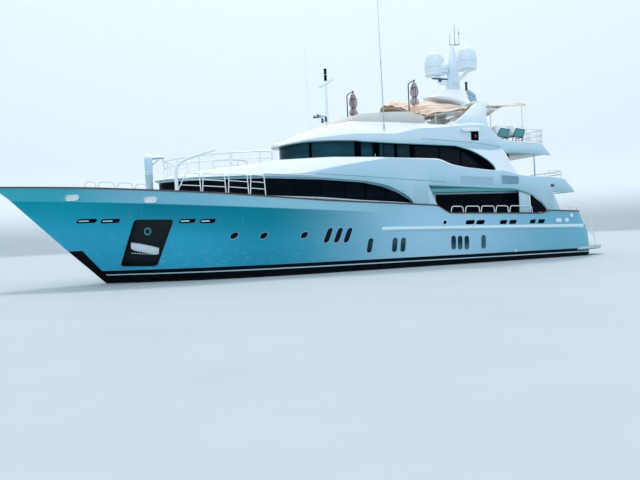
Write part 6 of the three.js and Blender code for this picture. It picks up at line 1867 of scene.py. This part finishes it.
class YACHT_OT_parasols(bpy.types.Operator):
    """Cantilever parasols, furled and strapped"""
    bl_idname = "yacht.parasols"
    bl_label = "Parasols"

    def execute(self, context):
        drop_radius = curve(*((d, r) for d, r, _ in FURL))
        drop_fold = curve(*((d, f) for d, _, f in FURL))
        for name, (x, y, top) in PARASOLS.items():
            cx, head = x - PARASOL_ARM, top - 0.16 - SEAM

            def furled(u, turn, back=0.0):
                drop = FURL[-1][0] * u
                wave = sin(8 * turn + 1.3 * sin(2.2 * drop) + 0.5 * sin(turn))
                r = drop_radius(drop) * (1 + drop_fold(drop) * wave) - back
                twist = turn + 0.25 * sin(drop * 2.0)
                slump = 0.03 * sin(3 * turn) * u
                return (cx + r * cos(twist), y + r * sin(twist), head - drop - slump)

            outer = [[furled(k / FURL_ROWS, a) for a in turns(FURL_ROUND)] for k in range(FURL_ROWS + 1)]
            inner = [[furled(k / FURL_ROWS, a, CLOTH) for a in turns(FURL_ROUND)]
                     for k in range(FURL_ROWS, -1, -1)]
            cloth = show(f"parasol_cloth_{name}", Form().loft(outer + inner, closed=True), "cloth",
                         replaces=(f"parasol_canopy_{name}",), angle=80)
            strap = Form()
            for d in (1.1, 0.45):
                r = drop_radius(d) * (1 + drop_fold(d) * 0.75)
                strap.tube(circle(cx, y, head - d, r, 40), 0.024, 8, closed=True)
            band = show(f"parasol_straps_{name}", strap, "black", angle=50)
            rings = []
            for drop, radius in PARASOL_FOOT:
                rows = [(a, radius * (1 + 0.12 * sin(7 * a))) for a in turns(70)]
                rings.append([(cx + r * cos(a), y + r * sin(a), head - drop) for a, r in rows])
            show(f"parasol_foot_{name}", Form().loft(rings), "tan_cover", angle=50)
        return {"FINISHED"}


# Life rafts and rails aft

RAFT = {"y": 3.05, "z": 9.72, "radius": 0.42, "length": 1.28, "starts": (-12.45, -13.87)}
# Corners of the board in front of a raft: aft of the start, above the middle
RAFT_PANEL = [(0.36, 0.22), (1.16, 0.12), (0.96, -0.46), (0.10, -0.40)]


class YACHT_OT_rafts(bpy.types.Operator):
    """Life raft canisters with their bands, in their cradles"""
    bl_idname = "yacht.rafts"
    bl_label = "Life rafts"

    def execute(self, context):
        z, r, long = (RAFT[k] for k in ("z", "radius", "length"))
        ends = [(0.0, 0.0), (0.30, 0.01), (0.38, 0.05), (0.415, 0.12), (0.42, 0.2), (0.42, long / 2 - 0.03),
                (0.40, long / 2 - 0.02)]
        rows = ends + [(radius, long - along) for radius, along in ends[::-1]]
        foot = SUN_AFT + SEAM
        for name, side in SIDES:
            shells, bands, cradle, panels = (Form() for _ in range(4))
            y = side * RAFT["y"]
            out, back = y + side * (r + 0.03), y - side * r
            for start in RAFT["starts"]:
                shells.turned((start, y, z), rows, 40, axis=(-1, 0, 0))
                for share in (0.12, 0.88):
                    ring = [(start - long * share, y + (r + 0.006) * cos(a), z + (r + 0.006) * sin(a))
                            for a in turns(36)]
                    bands.tube(ring, 0.014, 6, closed=True)
                board = [(start - u, out, z + v) for u, v in RAFT_PANEL]
                panels.loft([[(px, out + side * step, pz) for px, _, pz in board]
                             for step in (-0.012, 0.012)])
                cradle.tube(board, 0.03, 8, closed=True)
                for px, _, pz in board[2:]:
                    for run in ([(px, out, pz), (px + 0.34, out - side * 0.1, foot)],
                                [(px, out, pz), (px, back, pz)], [(px, back, pz), (px, back, foot)]):
                        cradle.tube(run, 0.036, 10)
            show(f"raft_canisters_{name}", shells, "white", replaces=(f"life_rafts_{name}",), angle=34)
            show(f"raft_bands_{name}", bands, "line", angle=50)
            show(f"raft_cradle_{name}", cradle, "dark", angle=50)
            show(f"raft_panels_{name}", panels, "teal_panel", angle=30)
        return {"FINISHED"}


UPPER_RAIL = [(-16.45, 4.29, 6.66), (-17.3, 4.22, 6.66), (-18.14, 3.75, 6.62)]
SUN_RAIL = [(-15.4, 3.2, 9.93), (-16.4, 3.2, 9.93), (-17.0, 3.05, 9.93), (-17.18, 2.6, 9.93)]
STERN_RAILS = [[(-20.3, 3.9, 3.2), (-20.75, 3.9, 3.12), (-20.95, 3.9, 2.15), (-20.66, 3.88, 2.05)],
               [(-20.7, 3.9, 1.9), (-21.1, 3.88, 1.5), (-21.15, 3.86, 0.74)]]


def lowered(run, *drops):
    """A rail's run at each drop below its top."""
    return [[(x, y, z - drop) for x, y, z in run] for drop in drops]


class YACHT_OT_aft_rails(bpy.types.Operator):
    """Rails round the after ends of the sun deck and the upper deck, and the stern handrails"""
    bl_idname = "yacht.aft_rails"
    bl_label = "Aft rails"

    def execute(self, context):
        sun, upper = both_sides(SUN_RAIL), both_sides(UPPER_RAIL)
        bars("sun_rail_bars", lowered(sun, 0.0, 0.42, 0.84), size("rail"), bend=0.25,
             replaces=("sun_deck_rail",))
        posts = [[(x, y, SUN_AFT + SEAM), (x, y, z)]
                 for x, y, z in sun + [(-17.18, v, 9.93) for v in (-1.3, 0, 1.3)]]
        bars("sun_rail_posts", posts, 0.04, bend=0.0)
        bars("upper_rail_bars", lowered(upper, 0.0, 0.24), 0.032, bend=0.2)
        posts = [[(x, y, 6.15 if x > -17.5 else 6.0), (x, y, z)]
                 for x, y, z in upper + [(-18.14, v, 6.62) for v in (-1.9, 0.0, 1.9)]]
        bars("upper_rail_posts", posts, 0.032, bend=0.0)
        stern = []
        for side in (1, -1):
            for run in STERN_RAILS:
                stern.append([(x, side * y, z) for x, y, z in run])
        bars("stern_rails", stern, 0.03, bend=0.1)
        return {"FINISHED"}


# Foredeck, doors and platform

ROOF_RAIL = [(5.15, 2.95, 8.2), (5.9, 2.75, 8.26), (7.8, 2.42, 8.18), (9.8, 1.9, 8.06), (11.1, 1.35, 7.9),
             (11.65, 0.6, 7.84)]
CRANE = {"x": 12.4, "y": -2.35, "seat": 4.98, "seam": 7.26, "head": 8.6}
# Outlines of turned fittings: radius and height
CRANE_BASE = [(0.0, SEAM), (0.38, SEAM), (0.38, 0.06), (0.32, 0.16), (0.27, 0.34), (0.26, 0.5), (0.26, 2.1),
              (0.28, 2.16), (0.28, 2.24), (0.25, 2.279), (0.0, 2.28)]
DAVIT = {"x": 11.55, "y": 3.05, "seat": 5.0}
WINDLASS = [(0.0, 0.0), (0.3, 0.0), (0.3, 0.08), (0.22, 0.12), (0.2, 0.34), (0.28, 0.4), (0.28, 0.44),
            (0.16, 0.5), (0.14, 0.62), (0.2, 0.7), (0.2, 0.74), (0.0, 0.78)]
BOLLARD = [(0.0, 0.0), (0.12, 0.0), (0.12, 0.03), (0.075, 0.06), (0.07, 0.3), (0.105, 0.33), (0.105, 0.37),
           (0.0, 0.4)]
BOLLARDS = [(18.2, 1.35), (13.2, 0.9), (-13.8, 0.55), (-18.0, 0.6)]    # x and how far inboard of the sheer


class YACHT_OT_foredeck(bpy.types.Operator):
    """Rail round the roof of the bow house, crane, davit, windlasses, bollards and hatches"""
    bl_idname = "yacht.foredeck"
    bl_label = "Foredeck"

    def execute(self, context):
        row = both_sides(ROOF_RAIL)
        foot = lambda x: UPPER_FWD if x < 6.2 else roof_edge(x) + 0.02
        bars("roof_rail_top", [row], 0.05, bend=0.3, replaces=("roof_rail",))
        bars("roof_rail_middle", lowered(row, 0.42), 0.036, bend=0.3)
        bars("roof_rail_posts", [[(x, y, foot(x)), (x, y, z)] for x, y, z in row], 0.036, bend=0.0)
        thick = Form()
        for side in (1, -1):
            x, y, high = 7.8, side * 2.42, 8.24 - roof_edge(7.8)
            thick.turned((x, y, roof_edge(x)),
                         [(0.0, 0.0), (0.16, 0.0), (0.16, 0.04), (0.10, 0.1), (0.09, 0.9),
                          (0.09, high), (0.05, high + 0.03), (0.0, high + 0.03)], 22)
            thick.tube([(5.15, side * 2.95, 8.2), (5.1, side * 2.96, 7.6), (5.05, side * 2.97, 6.79)],
                       0.036, 12)
        show("roof_posts", thick, "white")
        self.crane()
        self.davit()
        self.gear()
        return {"FINISHED"}

    def crane(self):
        x, y, seat, seam, head = (CRANE[k] for k in ("x", "y", "seat", "seam", "head"))
        base = Form().turned((x, y, seat), CRANE_BASE, 36)
        for bolt in circle(x, y, seat + 0.06, 0.34, 12):
            base.turned(bolt, [(0.022, -0.01), (0.022, 0.025), (0.0, 0.03)], 8)
        show("crane_pedestal", base, "house", replaces=("crane_base",), angle=34)
        rise = head - seam
        top = Form().turned((x, y, seam),
                            [(0.0, 0.014), (0.27, 0.014), (0.275, 0.06), (0.26, 0.1), (0.27, 0.2),
                             (0.28, rise - 0.34), (0.265, rise - 0.2), (0.22, rise - 0.08),
                             (0.14, rise - 0.02), (0.0, rise)], 36)
        top.turned((x, y, seam), [(0.0, SEAM), (0.12, SEAM), (0.12, 0.05), (0.0, 0.06)], 20)
        arm = spline([(x, y, head - 0.28), (x - 0.5, y, head - 0.22), (x - 1.05, y, head - 0.2)], 0.12)
        top.tube(arm, 0.13, 22, 0.09)
        top.tube([(x - 1.02, y, head - 0.2), (x - 1.02, y, head - 0.42)], 0.05, 14)
        hook = [(x - 1.02 + 0.05 * cos(a), y, head - 0.48 + 0.05 * sin(a)) for a in turns(16)]
        top.tube(hook, 0.018, 8, closed=True)
        top.tube([(x + 0.12, y - 0.2, seam + 0.3), (x - 0.7, y - 0.02, head - 0.34)], 0.045, 12)
        show("crane_top", top, "house", body="crane_head", replaces=("crane_head",), angle=34)

    def davit(self):
        x, y, seat = (DAVIT[k] for k in ("x", "y", "seat"))
        run = [(x, seat + SEAM), (x, 6.0), (x, 6.95), (x - 0.16, 7.38), (x - 0.65, 7.68), (x - 1.5, 7.97),
               (9.06, 8.27)]
        arm = Form().tube(spline([(u, y, z) for u, z in run], 0.16), 0.13, 22, 0.07)
        arm.turned((x, y, seat + 0.35), [(0.12, -0.04), (0.16, -0.03), (0.16, 0.03), (0.12, 0.04)], 22)
        arm.turned((9.06, y, 8.27), [(0.0, -0.09), (0.05, -0.08), (0.085, 0.0), (0.05, 0.08), (0.0, 0.09)],
                   18)
        show("davit_boom", arm, "white", body="davit_arm", replaces=("davit_arm",))

    def gear(self):
        gear, hatches, caps = Form(), Form(), Form()
        for side in (1, -1):
            x, y, z = 16.6, side * 0.85, deck_z(16.6)
            gear.turned((x, y, z), WINDLASS, 30)
            gear.box((x - 0.5, y - 0.2, z - 0.02), (x - 0.22, y + 0.2, z + 0.3))
            for x, inboard in BOLLARDS:
                y, z = side * (sheer_b(x) - inboard), deck_z(x)
                for step in (-0.16, 0.16):
                    gear.turned((x + step, y, z), BOLLARD, 20)
                gear.box((x - 0.32, y - 0.12, z - 0.01), (x + 0.32, y + 0.12, z + 0.02))
        show("windlasses_and_bollards", gear, "steel", angle=34, bevel=0.006)
        for x, y, wide in ((15.0, 0.0, 0.9), (18.4, 0.0, 0.7), (13.6, 0.9, 0.6), (13.6, -0.9, 0.6)):
            z = deck_z(x) + 0.02
            rim = rounded_box(x, y, wide, wide, round_to=0.18)
            hatches.loft([[(u, v, z + up) for u, v in outline] for outline, up in
                          ((rim, -0.05), (rim, 0.05), (shrunk(rim, 0.08), 0.09))])
            caps.loft([[(u, v, z + up) for u, v in shrunk(rim, 0.2)] for up in (0.08, 0.098)])
        show("foredeck_hatches", hatches, "white", angle=34)
        show("hatch_glass", caps, "night_glass", angle=34)


class YACHT_OT_doors(bpy.types.Operator):
    """Frames and handles on the sliding doors, and the trims of the transom door and platform"""
    bl_idname = "yacht.doors"
    bl_label = "Doors and platform"

    def execute(self, context):
        for name, side in SIDES:
            aft, fore, y = DOORWAY["aft"] - 0.02, DOORWAY["fore"] + 0.02, side * 3.524
            loop = [(aft, y, 6.86), (fore, y, 6.86), (fore, y, 8.82), (aft, y, 8.82)]
            wheelhouse = Form().tube(loop, 0.03, 8, closed=True)
            wheelhouse.box((fore - 0.46, y - side * 0.045, 6.88), (fore - 0.01, y + side * 0.012, 8.8))
            x, hand = fore - 0.1, y + side * 0.05
            wheelhouse_grip = [(x, y, 7.5), (x, hand, 7.53), (x, hand, 7.97), (x, y, 8.0)]
            x, inner, outer, hand = -15.064, side * 0.045, side * 0.91, side * 0.12
            loop = [(x, inner, 2.84), (x, outer, 2.84), (x, outer, 4.81), (x, inner, 4.81)]
            saloon = Form().tube(loop, 0.03, 8, closed=True)
            saloon_grip = [(x, hand, 3.5), (x - 0.05, hand, 3.53), (x - 0.05, hand, 4.07), (x, hand, 4.1)]
            for body, frame_, coat, grip in ((f"wheelhouse_door_{name}", wheelhouse, "black",
                                              wheelhouse_grip),
                                             (f"saloon_door_{name}", saloon, "steel", saloon_grip)):
                show(f"{body}_frame", frame_, coat, body=body, angle=50)
                show(f"{body}_grip", Form().tube(grip, 0.014, 10), "steel", body=body, angle=50)
        seams, steps = Form(), Form()
        for z in (1.45, 1.75):
            seams.tube([(lid_x(z) - 0.002, y, z) for y in (-1.6, 1.6)], 0.008, 6)
        # Painted shadow: dark lines in the transom door's seams
        show("transom_door_seams", seams, "line", body="transom_door", angle=50)
        rim = [(x, platform_b(x) + 0.004, 0.68) for x in stations(-22.58, -20.9, 0.12)[::-1]]
        show("platform_fender", Form().tube(both_sides(rim), 0.035, 10), "grey", angle=50)
        for side in (1, -1):
            for y in (side * 1.5, side * 1.86):
                steps.tube([(-22.52, y, 0.76), (-22.5, y, 0.98), (-22.2, y, 0.98), (-22.2, y, 0.72)],
                           0.022, 10)
        show("boarding_grips", steps, "steel", angle=50)
        return {"FINISHED"}


platform_b = line((-22.6, 2.3), (-22.45, 2.95), (-22.1, 3.45), (-21.2, 3.95), (-20, 4.25), (-19.4, 4.36),
                  (-19.15, 4.3), (-19.05, 4.1))

# Finishes of CAD nodes that stay as they are, by the start of their names
NODE_FINISHES = {
    "transom_door": "hull", "propeller": "bronze", "shaft": "steel", "rudder": "bottom",
    "stabiliser_fin": "bottom",
    "awning_frame": "rail", "parasol_pole": "black", "windscreen": "smoked", "swim_platform": "platform",
    "anchor": "steel", "wheelhouse_door": "glass", "saloon_door": "night_glass",
    "saloon_glass": "night_glass",
}


class YACHT_OT_node_finishes(bpy.types.Operator):
    """Finishes of the CAD nodes that keep their shape"""
    bl_idname = "yacht.node_finishes"
    bl_label = "Finishes of the frame"

    def execute(self, context):
        for node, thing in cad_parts.items():
            coat = finish(next((coat for start, coat in NODE_FINISHES.items() if node.startswith(start)),
                               "house"))
            if not thing.material_slots:
                thing.data.materials.append(coat)
            for slot in thing.material_slots:
                slot.material = coat
        return {"FINISHED"}


CAMERA = {"place": (20.06, 47.53, 2.81), "yaw": 22.09, "pitch": 0.74, "roll": -2.46, "focal": 707.0}
FRAME_WIDTH = 640


class YACHT_OT_stage(bpy.types.Operator):
    """Camera, pale floor at the waterline, backdrop and soft lights"""
    bl_idname = "yacht.stage"
    bl_label = "Stage"

    def execute(self, context):
        self.camera(context.scene)
        self.floor()
        self.light(context.scene)
        context.scene.view_settings.view_transform = "Standard"
        return {"FINISHED"}

    def camera(self, scene):
        yaw, pitch, roll = (radians(CAMERA[k]) for k in ("yaw", "pitch", "roll"))
        ahead = Vector((-sin(yaw) * cos(pitch), -cos(yaw) * cos(pitch), -sin(pitch)))
        right = Vector((-cos(yaw), sin(yaw), 0))
        tilted = right * cos(roll) + right.cross(ahead) * sin(roll)
        lens = bpy.data.cameras.new("camera")
        lens.sensor_width = 36
        lens.lens = CAMERA["focal"] * lens.sensor_width / FRAME_WIDTH
        lens.clip_end = 400
        scene.camera = linked("camera", lens)
        turn = Matrix((tilted, tilted.cross(ahead), -ahead)).transposed().to_4x4()
        scene.camera.matrix_world = Matrix.Translation(Vector(CAMERA["place"]) * SHIP) @ turn

    def floor(self):
        paint = Finish("pale_floor")
        ripple = paint.noise(0.25, 4.0, (1, 1, 1), 0.55)
        tone = paint.blend(ripple, (0.42, 0.49, 0.53), (0.48, 0.55, 0.59))
        tone = paint.blend(paint.span(paint.z, 2.0, 14.0), tone, (0.84, 0.90, 0.94))
        rows = [(0.001, 0.0), (150, 0.0), (170, 3.0), (184, 12.0), (190, 26.0), (190, 120.0)]
        bowl = Form().loft([circle(0, 0, height, radius, 96) for radius, height in rows], caps=False)
        ground = linked("stage_floor", shaded(bowl.mesh("stage_floor"), 60))
        ground.data.materials.append(paint.shade(tone, 0.6, ripple, 0.05, Specular_IOR_Level=0.1))
        ground.data.flip_normals()

    def light(self, scene):
        scene.world = bpy.data.worlds.new("studio_air")
        scene.world.use_nodes = True
        back = next(n for n in scene.world.node_tree.nodes if n.type == "BACKGROUND")
        back.inputs["Color"].default_value = (0.93, 0.965, 1.0, 1.0)
        back.inputs["Strength"].default_value = 1.08
        for name, way, power, spread, colour in (("key", (0.25, 0.55, -1.0), 1.4, 12, (1.0, 0.98, 0.95)),
                                                 ("fill", (-0.35, -0.9, -0.35), 0.85, 60,
                                                  (0.95, 0.98, 1.0))):
            lamp = bpy.data.lights.new(name, "SUN")
            lamp.energy = power
            lamp.angle = radians(spread)
            lamp.color = colour
            linked(name, lamp).rotation_euler = Vector(way).to_track_quat("-Z", "Y").to_euler()


class YACHT_PT_panel(bpy.types.Panel):
    """Steps that dress the yacht"""
    bl_idname = "YACHT_PT_panel"
    bl_label = "Yacht"
    bl_space_type = "VIEW_3D"
    bl_region_type = "UI"
    bl_category = "Yacht"

    def draw(self, context):
        for group in (context.scene.yacht_sizes, context.scene.yacht_colours):
            for name in group.__annotations__:
                self.layout.prop(group, name)
        for step in STEPS:
            self.layout.operator(step.bl_idname)


STEPS = [YACHT_OT_stage, YACHT_OT_node_finishes, YACHT_OT_hull, YACHT_OT_hull_trims, YACHT_OT_cap_rail,
         YACHT_OT_decks, YACHT_OT_houses, YACHT_OT_plate_trims, YACHT_OT_arch, YACHT_OT_mast,
         YACHT_OT_foremast, YACHT_OT_awnings, YACHT_OT_parasols, YACHT_OT_rafts, YACHT_OT_aft_rails,
         YACHT_OT_foredeck, YACHT_OT_doors]
CLASSES = [YACHT_PG_sizes, YACHT_PG_colours, *STEPS, YACHT_PT_panel]


def register():
    for kind in CLASSES:
        bpy.utils.register_class(kind)
    bpy.types.Scene.yacht_sizes = PointerProperty(type=YACHT_PG_sizes)
    bpy.types.Scene.yacht_colours = PointerProperty(type=YACHT_PG_colours)


def unregister():
    del bpy.types.Scene.yacht_sizes
    del bpy.types.Scene.yacht_colours
    for kind in reversed(CLASSES):
        bpy.utils.unregister_class(kind)


def main():
    register()
    for step in STEPS:
        family, name = step.bl_idname.split(".")
        getattr(getattr(bpy.ops, family), name)()
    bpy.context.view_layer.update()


if __name__ == "__main__":
    main()
